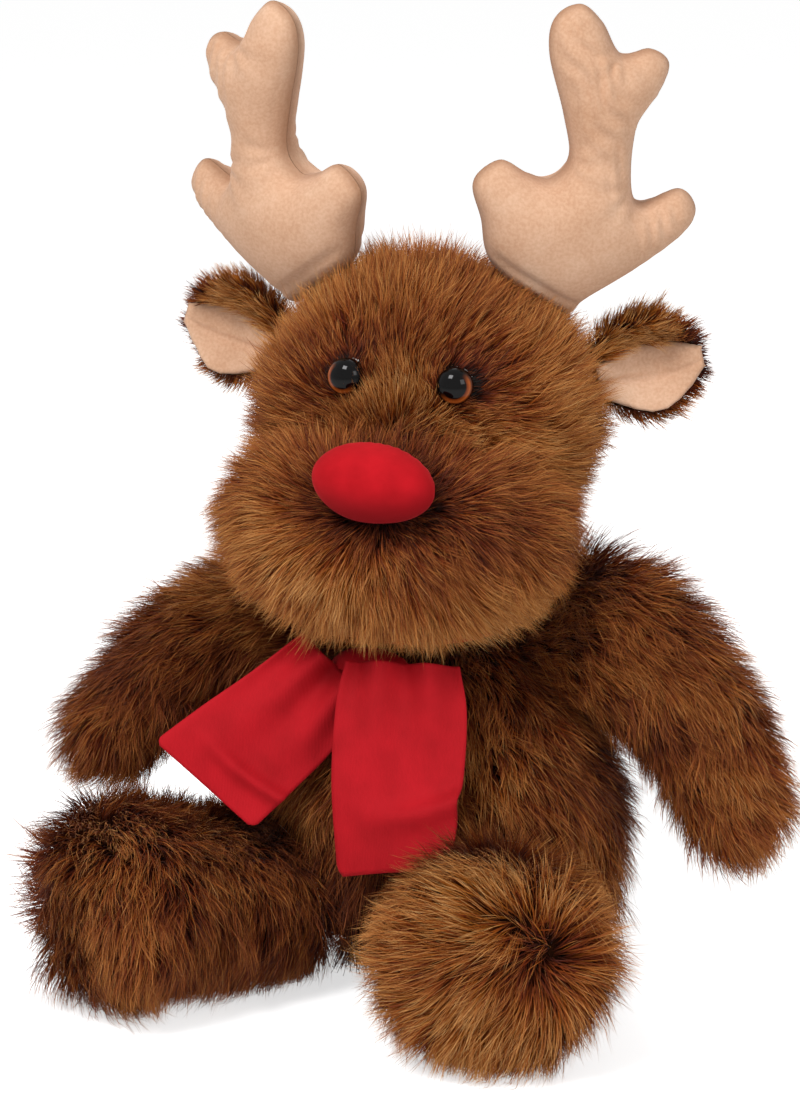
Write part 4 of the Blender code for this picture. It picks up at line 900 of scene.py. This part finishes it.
# Eyes: domed safety eyes of acrylic, painted behind with a black pupil in an amber iris and glossy
# in front. A shank behind each goes through the cover, and a washer locks it there.
EYE_RADIUS, EYE_DOME, EYE_RIM, EYE_SUNK = 0.0068, 0.0048, 0.0012, 0.0035
EYE_TOE, EYE_SIDES = math.radians(2.5), 48
eye_gloss, tree, shader = new_material("painted_acrylic_eye", {"Roughness": 0.05, "Specular IOR Level": 0.14})
ring = add_node(tree, "UVMap", uv_map="OFBake")
ring_split = add_node(tree, "SeparateXYZ", links={0: ring.outputs[0]})
# painted light and shade: the amber shows only in a crescent at the iris's lower outer side, where light
# through the dome falls, and the rest of the ring is painted near black as shade
around = add_node(tree, "Math", sockets={1: 0.5}, links={0: ring_split.outputs[0]}, operation="SUBTRACT")
around = add_node(tree, "Math", links={0: around.outputs[0]}, operation="ABSOLUTE")
share = eased(tree, around.outputs[0], 0.30, 0.16)
crescent = add_node(tree, "Mix", sockets={6: linear("060505")}, links={0: share}, data_type="RGBA")
tree.links.new(dye_ramp(tree, ring_split.outputs[1], (
    (0, "050404"), (0.64, "070505"), (0.70, "6e2f0e"), (0.84, "a85420"), (0.93, "4a1e0a"), (1, "0a0605"),
)), crescent.inputs[7])
tree.links.new(crescent.outputs[2], shader.inputs["Base Color"])


for side, sign in SIDES:
    spot = np.array((sign * EYE_OUT, 0, EYE_UP))
    side_share, up_share = EYE_OUT / HEAD_RADII[0], (EYE_UP - HEAD_CENTRE[2]) / HEAD_RADII[2]
    spot[1] = -HEAD_RADII[1] * math.sqrt(1 - side_share**2 - up_share**2)
    out = Vector((spot - HEAD_CENTRE) / HEAD_RADII**2).normalized()
    centre = Vector(spot) - EYE_SUNK * out
    look = (out + 2 * Vector((sign * math.sin(EYE_TOE), -1, 0))).normalized()
    y_way = look.cross(Vector((1, 0, 0))).normalized()
    turn = np.array(Matrix((y_way.cross(look), y_way, look)).transposed())
    # the map's v is the share of the radius, which picks the ring of paint, and its u is the side
    turn_up = np.linspace(0, np.pi / 2 * 0.985, 20)
    radius = np.concatenate([[EYE_RADIUS], EYE_RADIUS * np.cos(turn_up)])
    rise = np.concatenate([[-0.0005], EYE_RIM + EYE_DOME * np.sin(turn_up)])
    a = round_angles(EYE_SIDES) + math.radians(135 if sign > 0 else 45)
    local = np.stack([radius[:, None] * np.cos(a), radius[:, None] * np.sin(a), rise[:, None] + 0 * a], 2)
    world_points = placed(head_place, np.array(centre) + local.reshape(-1, 3) @ turn.T)
    eye = add_piece(f"{side}_eye_dome", "head", world_points, skin_faces(len(radius), EYE_SIDES), eye_gloss)
    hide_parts(f"{side}_eye")
    layer = eye.data.uv_layers.new(name="OFBake")
    column = np.tile(np.arange(EYE_SIDES), len(radius) - 1)
    row = np.repeat(np.arange(len(radius) - 1), EYE_SIDES)
    reach = np.clip(radius / EYE_RADIUS, 0.01, 0.985) + 0.001 * (20 - np.arange(len(radius)))
    u = np.stack([column, column + 1, column + 1, column], 1) / EYE_SIDES
    v = np.stack([reach[row], reach[row], reach[row + 1], reach[row + 1]], 1)
    cap = 0.01 * np.stack([np.cos(a), np.sin(a)], 1)
    eye_uv = np.concatenate([np.stack([u, v], 2).reshape(-1, 2), cap[::-1] + (0.02, 0.97), cap + (0.5, 0.02)])
    layer.data.foreach_set("uv", np.clip(eye_uv, 0.0005, 0.9995).astype(np.float32).ravel())


# Ears: a leaf of fur fabric behind and a lining of tan suede cloth in front, sewn round the edge.
# Each is cupped, and sewn to the head along its narrow end.
EAR_LENGTH, EAR_HALF_WIDTH, EAR_CUP, EAR_CURL = 0.043, 0.0185, 0.009, 0.005
EAR_WIDTHS = (0.50, 0.72, 0.90, 1.0, 1.0, 0.88, 0.66, 0.30)
LEAF_SHARE, LINING_LIFT, LINING_THICK = 0.92, 0.0042, 0.0012
suede, tree, shader = new_material("tan_microsuede", {
    "Roughness": 0.9, "Specular IOR Level": 0.2, "Sheen Weight": 0.12, "Sheen Roughness": 0.5,
})
place = add_node(tree, "TexCoord").outputs["Object"]
# rubbed patches of 26 mm over a nap of 1 mm, and painted shade that darkens the creases along the seams
cloud = add_node(tree, "TexNoise", sockets={"Scale": 38, "Detail": 5, "Roughness": 0.6}, links={0: place})
fleck = add_node(tree, "TexNoise", sockets={"Scale": 900, "Detail": 2}, links={0: place})
base_dye = dye_ramp(tree, cloud.outputs[0], ((0.30, "c59675"), (0.55, "d3a788"), (0.75, "dfb99c")))
fleck_dye = dye_ramp(tree, fleck.outputs[0], ((0.35, "bc8c6c"), (0.65, "e6c4a8")))
mixed = add_node(tree, "Mix", sockets={0: 0.22}, links={6: base_dye, 7: fleck_dye}, data_type="RGBA")
seam_shade_share = add_node(tree, "Attribute", attribute_name="seam")
shade = add_node(tree, "Math", sockets={1: 0.55}, links={0: seam_shade_share.outputs["Fac"]}, operation="MULTIPLY")
seam_shaded_colour = {0: shade.outputs[0], 6: mixed.outputs[2]}
seam_shaded_colour = add_node(tree, "Mix", sockets={7: linear("8a5c3c")}, links=seam_shaded_colour, data_type="RGBA")
tree.links.new(seam_shaded_colour.outputs[2], shader.inputs["Base Color"])
roughened(tree, shader, fleck.outputs[0], 0.3, 0.00025)


def ear_frame(sign):
    """The ear's frame: x from the root to the tip, z out of the ear's cupped front."""
    up_share, back_share = (0.071 - HEAD_CENTRE[2]) / HEAD_RADII[2], 0.008 / HEAD_RADII[1]
    sideways = HEAD_RADII[0] * math.sqrt(1 - up_share**2 - back_share**2)
    root = (sign * (sideways - 0.0015), 0.008, 0.071)
    rise, forward = math.radians(14), math.radians(14)
    run = Vector((sign * math.cos(rise), -math.sin(forward), math.sin(rise)))
    z = Vector((sign * math.sin(forward), -1, 0)).normalized()
    y = z.cross(run).normalized()
    turn = Matrix((y.cross(z), y, z)).transposed().to_4x4()
    return head_place @ np.array(Matrix.Translation(root) @ turn)


def leaf_width(share):
    """The ear's half width at shares of its length."""
    return np.interp(share, np.linspace(0, 1, len(EAR_WIDTHS)), EAR_WIDTHS)


def ear_leaf(sign, share, lift, s, t):
    """A cupped leaf: z = cup (y y - 1) sin(pi x) + lift, x along and y across, its lower edge curled out."""
    start = (1 - share) / 2
    along = start + share * s
    across = share * leaf_width(s) * t
    cup = EAR_CUP * (across**2 - 1) * np.sin(np.pi * np.clip(along, 0, 1))
    cup = cup + EAR_CURL * np.clip(-sign * across, 0, 1) ** 3
    return np.stack([EAR_LENGTH * along, EAR_HALF_WIDTH * across, cup + lift], -1)


for side, sign in SIDES:
    rng = np.random.default_rng(60 + sign)
    turn = ear_frame(sign)
    s, a = np.meshgrid(np.linspace(0.03, 0.985, 30), round_angles(48), indexing="ij")
    t = np.cos(a)
    leaf = ear_leaf(sign, LEAF_SHARE, 0, s, t)
    leaf[..., 2] += 0.0022 * np.sin(a) * np.sqrt(np.clip(1 - (2 * s - 1) ** 6, 0.1, 1)) - 0.0006
    grid = placed(turn, leaf)
    skin = backing(f"{side}_ear_backing", f"{side}_ear", grid, knit)
    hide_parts(f"{side}_ear_back")
    roots, outs = scattered(grid, 14000, rng)
    local = seen_from(turn, roots)
    width = EAR_HALF_WIDTH * leaf_width(local[:, 0] / EAR_LENGTH)
    below = -sign * local[:, 1] / width
    rear = outs @ turn[:3, 2] < 0.1
    free = rear | (below < -0.46) | (local[:, 0] > 0.965 * EAR_LENGTH)
    free &= local[:, 0] > 0.0015
    roots, outs, local = roots[free], outs[free], local[free]
    ways = np.stack([np.ones(len(roots)), local[:, 1] / EAR_HALF_WIDTH * 0.9, -0.2 + 0 * local[:, 0]], 1)
    ways = ways @ turn[:3, :3].T
    rim = np.clip((local[:, 0] / EAR_LENGTH - 0.6) / 0.3, 0, 1)
    shade = 0.82 - 0.46 * rim**2 + 0.08 * patchy(roots, 0.01, 61)
    pile(
        f"{side}_ear_pile", f"{side}_ear", roots, outs, ways,
        0.0125 - 0.0035 * rim, np.full(len(roots), 0.85), shade, FACE_CLUMP_GAP, rng,
    )
    s, t = np.meshgrid(np.linspace(0, 1, 34), np.linspace(-1, 1, 29), indexing="ij")
    lining = ear_leaf(sign, LEAF_SHARE, LINING_LIFT, s, -sign * (0.27 + 0.73 * t))
    t = t if sign < 0 else t[:, ::-1]
    lining = lining if sign < 0 else lining[:, ::-1]
    lining[..., 2] -= 0.0030 * np.clip(np.abs(t) ** 8 + np.clip(2 * s - 1, 0, 1) ** 10, 0, 1)
    lining[..., 2] -= 0.0022 * np.exp(-((np.abs(t - 0.2 * s)) / 0.13) ** 2) * (1 - s) ** 0.6
    lining[..., 0] += 0.002
    points = placed(turn, lining).reshape(-1, 3)
    faces = grid_quads(34, 29)[:, [0, 3, 2, 1]]
    if np.cross(points[29] - points[0], points[1] - points[0]) @ turn[:3, 2] < 0:
        faces = faces[:, ::-1]
    cloth = add_piece(f"{side}_ear_suede", f"{side}_ear", points, faces.tolist(), suede)
    wall = cloth.modifiers.new("cloth", "SOLIDIFY")
    wall.thickness, wall.offset = LINING_THICK, -1
    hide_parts(f"{side}_ear_lining")


# Antlers: two panels of tan suede cloth each, seamed round a branched outline, turned and stuffed
# firm, so that each branch is round. The seat is sewn to the crown of the head.
ANTLER_SPREAD, ANTLER_HEIGHT = 0.082, 0.117
PANEL_SPACING, EDGE_BAND, SEAM_SHADE_WIDTH = 0.0013, 0.0038, 0.0009
HEIGHT_STEP, SETTLINGS, WRINKLE_GAP = 0.0009, 1400, 0.0065
ANTLER_SHARES = np.array((
    (0.15, -0.085), (0.29, -0.015), (0.52, 0.09), (0.70, 0.19), (0.75, 0.27), (0.67, 0.335),
    (0.50, 0.29), (0.45, 0.36), (0.46, 0.54), (0.55, 0.65), (0.585, 0.74), (0.50, 0.785),
    (0.37, 0.77), (0.28, 0.87), (0.18, 0.925), (0.07, 0.88), (0.055, 0.77), (0.13, 0.58),
    (0.165, 0.44), (0.09, 0.37), (-0.01, 0.385), (-0.14, 0.43), (-0.255, 0.36), (-0.215, 0.24),
    (-0.15, 0.085),
))

ANTLER_NOTCHES = np.array(((0.45, 0.37), (0.13, 0.44), (0.37, 0.79)))


def antler_frame(sign):
    """The antler's frame: x along its seat on the head, y out of the head, z to its front."""
    sideways = 0.035 if sign > 0 else 0.041
    up = HEAD_RADII[2] * math.sqrt(1 - (sideways / HEAD_RADII[0]) ** 2)
    normal = Vector((sideways / HEAD_RADII[0] ** 2, 0, up / HEAD_RADII[2] ** 2)).normalized()
    root = (sign * (sideways - 0.0001 * normal.x), 0, HEAD_CENTRE[2] + up - 0.0001 * normal.z)
    seat = Vector((sign * normal.x, 0, normal.z))
    spin = Matrix.Rotation(sign * math.radians(22 if sign > 0 else 30), 3, seat)
    z = (spin @ Vector((0, -1, 0))).normalized()
    y = z.cross(spin @ Vector((sign * normal.z, 0, -normal.x))).normalized()
    turn = Matrix((y.cross(z), y, z)).transposed().to_4x4()
    lean = Matrix.Rotation(sign * math.radians(-4 if sign < 0 else 0), 4, "X")
    tilt = math.atan2(normal.x, normal.z)
    return head_place @ np.array(Matrix.Translation(root) @ turn @ lean), tilt


def tilted(points, tilt):
    """Points of the outline, turned by the head's slope under the antler's seat."""
    x, y = points[..., 0], points[..., 1]
    return np.stack([x * math.cos(tilt) - y * math.sin(tilt), x * math.sin(tilt) + y * math.cos(tilt)], -1)


def in_outline(points, outline):
    """Which points lie in a closed outline, by the number of edges they pass."""
    x, y = points[:, 0][:, None], points[:, 1][:, None]
    x0, y0 = outline[:, 0], outline[:, 1]
    x1, y1 = np.roll(x0, -1), np.roll(y0, -1)
    spans = (y0 > y) != (y1 > y)
    cut = x0 + (y - y0) * (x1 - x0) / np.where(y1 == y0, 1e-9, y1 - y0)
    return (spans & (x < cut)).sum(1) % 2 == 1


def edge_gap(points, outline):
    """The distance of points from a closed outline."""
    a, b = outline, np.roll(outline, -1, 0)
    run = b - a
    share = ((points[:, None] - a) * run).sum(2) / (run**2).sum(1)
    near = a + np.clip(share, 0, 1)[..., None] * run
    return np.linalg.norm(points[:, None] - near, axis=2).min(1)


def stuffed_height(outline, step):
    """Height of a stuffed panel: the root of u, where u's Laplacian is -2 and u is 0 at the seam."""
    low, high = outline.min(0) - 2 * step, outline.max(0) + 2 * step
    xs, ys = np.arange(low[0], high[0], step), np.arange(low[1], high[1], step)
    spots = np.stack(np.meshgrid(xs, ys, indexing="ij"), -1)
    inside = in_outline(spots.reshape(-1, 2), outline).reshape(spots.shape[:2])
    u = np.zeros(spots.shape[:2])
    for _ in range(SETTLINGS):
        around = np.roll(u, 1, 0) + np.roll(u, -1, 0) + np.roll(u, 1, 1) + np.roll(u, -1, 1)
        u = np.where(inside, (around + 2 * step**2) / 4, 0)

    def height(points):
        """The height at points, between the four cells round them."""
        at = (points - low) / step
        i = np.clip(at.astype(int), 0, np.array(u.shape) - 2)
        f = at - i
        x, y = i.T
        fx, fy = f.T
        value = ((1 - fx) * (1 - fy) * u[x, y] + fx * (1 - fy) * u[x + 1, y]
                 + (1 - fx) * fy * u[x, y + 1] + fx * fy * u[x + 1, y + 1])
        return np.sqrt(np.maximum(value, 0))

    return height


for side, sign in SIDES:
    turn, tilt = antler_frame(sign)
    rows = tilted(ANTLER_SHARES * (ANTLER_SPREAD, ANTLER_HEIGHT), tilt)
    outline = catmull_rom(np.vstack([rows[-1:], rows, rows[:2]]), 12)
    outline[:, 1] = np.maximum(outline[:, 1], 0.0002)
    if sign < 0:
        outline = (outline * (1, -1))[::-1]
    step = np.linalg.norm(np.roll(outline, -1, 0) - outline, axis=1)
    outline = outline[step > 1e-5]
    height = stuffed_height(outline, HEIGHT_STEP)
    low, high = outline.min(0), outline.max(0)
    spots = np.meshgrid(*(np.arange(low[k], high[k], PANEL_SPACING) for k in (0, 1)))
    spots = np.stack(spots, -1).reshape(-1, 2)
    spots = spots[in_outline(spots, outline)]
    spots = spots[edge_gap(spots, outline) > EDGE_BAND]
    rings = []
    along = unit(np.roll(outline, -1, 0) - np.roll(outline, 1, 0))
    inward = np.stack([-along[:, 1], along[:, 0]], 1)
    for inset in (0.00025, 0.0008, 0.0016, 0.0027):
        ring = outline + inset * inward
        ring = ring[in_outline(ring, outline)]
        rings.append(ring[edge_gap(ring, outline) > 0.93 * inset])
    flat = np.vstack([outline, *rings, spots])
    rim = len(outline)
    edges = [(n, (n + 1) % rim) for n in range(rim)]
    found = delaunay_2d_cdt([Vector(p) for p in flat], edges, [], 1, 1e-7)
    flat, faces = np.array([tuple(p) for p in found[0]]), found[2]
    gap = edge_gap(flat, outline)
    # the seam pulls the edge in, and the stuffed stem wrinkles where the panels bend
    rise = 0.92 * height(flat) * np.clip(gap / 0.0024, 0.02, 1) ** 0.35
    up_run = flat @ np.array((math.sin(tilt), math.cos(tilt) * sign))
    wrinkle = np.sin(up_run * 2 * np.pi / WRINKLE_GAP + 2.2 * np.sin(flat[:, 0] * 260))
    wrinkle = wrinkle * np.exp(-((up_run - 0.056) / 0.011) ** 2)
    for notch in ANTLER_NOTCHES * (ANTLER_SPREAD, ANTLER_HEIGHT):
        rel = flat - tilted(notch, tilt) * (1, sign)
        rays = np.sin(8 * np.arctan2(rel[:, 1], rel[:, 0]))
        wrinkle = wrinkle + 1.6 * rays * np.exp(-np.hypot(*rel.T) / 0.009)
    fold = np.exp(-((np.abs(flat[:, 1]) - 0.007) / 0.0016) ** 2)
    inner = np.clip(gap / 0.004, 0, 1)
    rise += inner * (0.00065 * wrinkle - 0.0013 * fold + 0.0004 * patchy(np.c_[flat, 0 * gap], 0.012, 71))
    rise = np.where(gap < 1e-6, 0, np.maximum(rise, 0.00015))
    for face, way in (("front", 1), ("back", -1)):
        points = np.c_[flat, way * (rise + 0.00008)]
        panel = [list(f) if way > 0 else list(f)[::-1] for f in faces]
        cover = add_piece(f"{side}_antler_{face}_panel", f"{side}_antler", placed(turn, points), panel, suede)
        # painted shade along the seam, fading inwards from the outline
        seam = cover.data.attributes.new("seam", "FLOAT", "POINT")
        seam.data.foreach_set("value", np.exp(-((gap / SEAM_SHADE_WIDTH) ** 2)).astype(np.float32))
        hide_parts(f"{side}_antler_{face}", *([f"{side}_antler_stuffing"] if way > 0 else []))


# Scarf: one strip of soft red cloth, wrapped round the neck over the seam of the head, tied in
# front, with a knot and two square ends that hang free.
BAND_UP, BAND_DIP, BAND_WIDTH = 0.145, 0.006, 0.012
KNOT_RADII = np.array((0.016, 0.0075, 0.0085))
END_LENGTH, END_HALF_WIDTH, END_THICK = 0.078, 0.0225, 0.0012
cloth_red, tree, shader, place, _ = mottled("red_velour_cloth", 60, 4, ("a20814", "b80f1c"), {
    "Roughness": 0.8, "Specular IOR Level": 0.2,
    "Sheen Weight": 0.15, "Sheen Roughness": 0.35, "Sheen Tint": linear("e0525a"),
})
# ribs of the ground weave, drawn at 1 mm so that they show
weave = add_node(tree, "TexWave", sockets={"Scale": 320, "Distortion": 1.5}, links={0: place})
roughened(tree, shader, weave.outputs[0], 0.15, 0.0002)


def body_side(a, z, out):
    """The point out of the body's side at an angle from +X and a height."""
    share = z / BODY_HEIGHT
    width = np.interp(share, BODY_SHARES[:, 0], BODY_SHARES[:, 1])
    x, y = (width * BODY_RADIUS + out) * np.cos(a), (width * BODY_DEPTH_RADIUS + out) * np.sin(a)
    return np.stack([x, y + body_shift(share), z + 0 * a], -1)


a, t = np.meshgrid(round_angles(120), np.linspace(-1, 1, 13), indexing="ij")
z = BAND_UP + BAND_DIP * np.sin(a) + t * BAND_WIDTH / 2
folds = 0.0004 * np.sin(3.1 * t + 2.0 * np.sin(3 * a))
crown = 0.0045 * (1 - t**2) * (0.6 + 0.4 * np.cos(a - 0.4))
outer = body_side(a, z, 0.0033 + crown + folds - 0.0012 * np.abs(t) ** 6)
inner = body_side(a, z, 0.0004 + 0 * a)[:, ::-1]
ring = np.concatenate([outer, inner], 1)
faces = grid_quads(*ring.shape[:2], loop_down=True, loop_across=True)[:, [0, 3, 2, 1]]
band = add_piece("scarf_neck_band", "body", ring.reshape(-1, 3), faces.tolist(), cloth_red)
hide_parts("scarf_band")

knot_centre = sum(np.array(corner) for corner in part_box("scarf_knot")) / 2
grid = egg_grid(knot_centre, KNOT_RADII, 0, 36, 60)
rel = grid - knot_centre
crease = 0.0007 * np.sin(rel[..., 0] * 900 + rel[..., 2] * 300)
grid = grid - 0.5 * np.abs(crease)[..., None] * facing_out(grid)
knot = backing("scarf_knot_wrap", "body", grid, cloth_red)
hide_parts("scarf_knot")

# rows down each end: its middle line in lengths, and its half width in half widths, both as x, y, z
SCARF_ENDS = {
    "left": (
        ((0.24, -0.04, 0.10), (0.27, -0.12, -0.10), (0.30, -0.23, -0.42), (0.35, -0.37, -0.80)),
        ((0.90, 0.20, 0.0), (1.03, 0.24, 0.0), (1.05, 0.20, 0.08), (1.00, -0.09, 0.24)),
    ),
    "right": (
        ((-0.10, 0.0, 0.05), (-0.26, -0.12, -0.16), (-0.43, -0.26, -0.33), (-0.59, -0.40, -0.49)),
        ((0.52, 0.12, -0.50), (0.68, 0.14, -0.60), (0.75, 0.16, -0.66), (0.80, 0.16, -0.69)),
    ),
}
for side, (middles, halves) in SCARF_ENDS.items():
    rows = np.hstack([np.array(middles) * END_LENGTH, np.array(halves) * END_HALF_WIDTH])
    run = smooth_line(rows, 16)
    across = np.linspace(-1, 1, 33)
    corner = 1 - 0.10 * np.clip((np.linspace(0, 1, len(run)) - 0.94) / 0.06, 0, 1)[:, None] ** 3
    grid = run[:, None, :3] + (corner * across)[..., None] * run[:, None, 3:]
    down, side_way = np.gradient(grid, axis=0), np.gradient(grid, axis=1)
    normal = unit(np.cross(side_way, down))
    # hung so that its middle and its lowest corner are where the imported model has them
    cad_low, cad_high = (np.array(corner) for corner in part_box(f"scarf_{side}_end"))
    spots = grid.reshape(-1, 3)
    move = (cad_low + cad_high) / 2 - (spots.min(0) + spots.max(0)) / 2
    move[2] = cad_low[2] - spots[:, 2].min()
    grid = grid + move
    down_share = np.linspace(0, 1, len(run))[:, None]
    wave = 0.0036 * np.sin(across[None, :] * 7.5 + 1.2) * (1 - down_share) ** 2.2
    wave = wave + 0.0014 * np.sin(across[None, :] * 2.6 - 0.6 + 1.5 * down_share) * down_share
    dent = np.exp(-((down_share - 0.80 + 0.05 * across[None, :] ** 2) / 0.05) ** 2)
    wave = wave - 0.0042 * dent * np.clip(across[None, :] + 0.8, 0, 1)
    thick = END_THICK * np.sqrt(1 - 0.75 * np.abs(across[None, :]) ** 10) * np.sqrt(1 - 0.6 * down_share**14)
    front, rear = grid + normal * (wave + thick)[..., None], grid + normal * (wave - thick)[..., None]
    m, n = grid.shape[:2]
    points = np.concatenate([front.reshape(-1, 3), rear.reshape(-1, 3)])
    sheet = grid_quads(m, n)[:, [0, 3, 2, 1]]
    rim = [(r, 0) for r in range(m)] + [(m - 1, c) for c in range(1, n)]
    rim += [(r, n - 1) for r in range(m - 2, -1, -1)] + [(0, c) for c in range(n - 2, 0, -1)]
    numbers = np.array([r * n + c for r, c in rim])
    after = np.roll(numbers, -1)
    wall = np.stack([numbers, numbers + m * n, after + m * n, after], 1)
    faces = np.vstack([sheet[:, ::-1], sheet + m * n, wall[:, ::-1]])
    tail = add_piece(f"scarf_{side}_tail", f"scarf_{side}_end", points, faces.tolist(), cloth_red)
    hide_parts(f"scarf_{side}_end")


# Tail: a short bud of the same fur over a little filling, sewn low on the back, its pile hanging
# down from it.
rng = np.random.default_rng(80)
STUB_RISE, STUB_UP = math.radians(35), 0.046
STUB_RADII, STUB_MIDDLE = np.array((0.0135, 0.0135, 0.020)), np.array((0, 0, 0.008))
STUB_BACKING_DEPTH = 0.0042
stub_root = body_side(np.array(math.pi / 2), np.array(STUB_UP), 0.0)
way = np.array((0, math.cos(STUB_RISE), math.sin(STUB_RISE)))
turn = np.eye(4)
turn[:3, 0], turn[:3, 1], turn[:3, 2], turn[:3, 3] = (1, 0, 0), np.cross(way, (1, 0, 0)), way, stub_root
grid = placed(turn, egg_grid(STUB_MIDDLE, STUB_RADII, STUB_BACKING_DEPTH, 30, 40))
skin = backing("tail_backing", "body", grid, knit)
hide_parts("tail_cover")
roots, outs = scattered(grid, 6000, rng)
free = body_depth(roots) < 0.002
roots, outs = roots[free], outs[free]
ways = np.tile(way, (len(roots), 1)) + (0, 0, -0.8)
shade = 0.48 + 0.1 * patchy(roots, 0.012, 81)
pile(
    "tail_pile", "body", roots, outs, ways,
    np.full(len(roots), 0.015), np.full(len(roots), 0.85), shade, 30, rng,
)


# Bag and washers: a cotton bag of pellets loose in the seat, and moulded plastic washers pushed on
# the eyes' shanks. The covers hide them, so they only take materials of their own here.
washer, *_ = mottled("moulded_polypropylene_washer", 300, 2, ("dededa", "ececea"), {"Roughness": 0.45})
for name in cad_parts:
    if name in ("nose_stuffing", "tail_stuffing", "pellet_bag") or "washer" in name:
        held = bpy.data.objects[name]
        for slot in held.material_slots:
            slot.material = washer if "washer" in name else fill
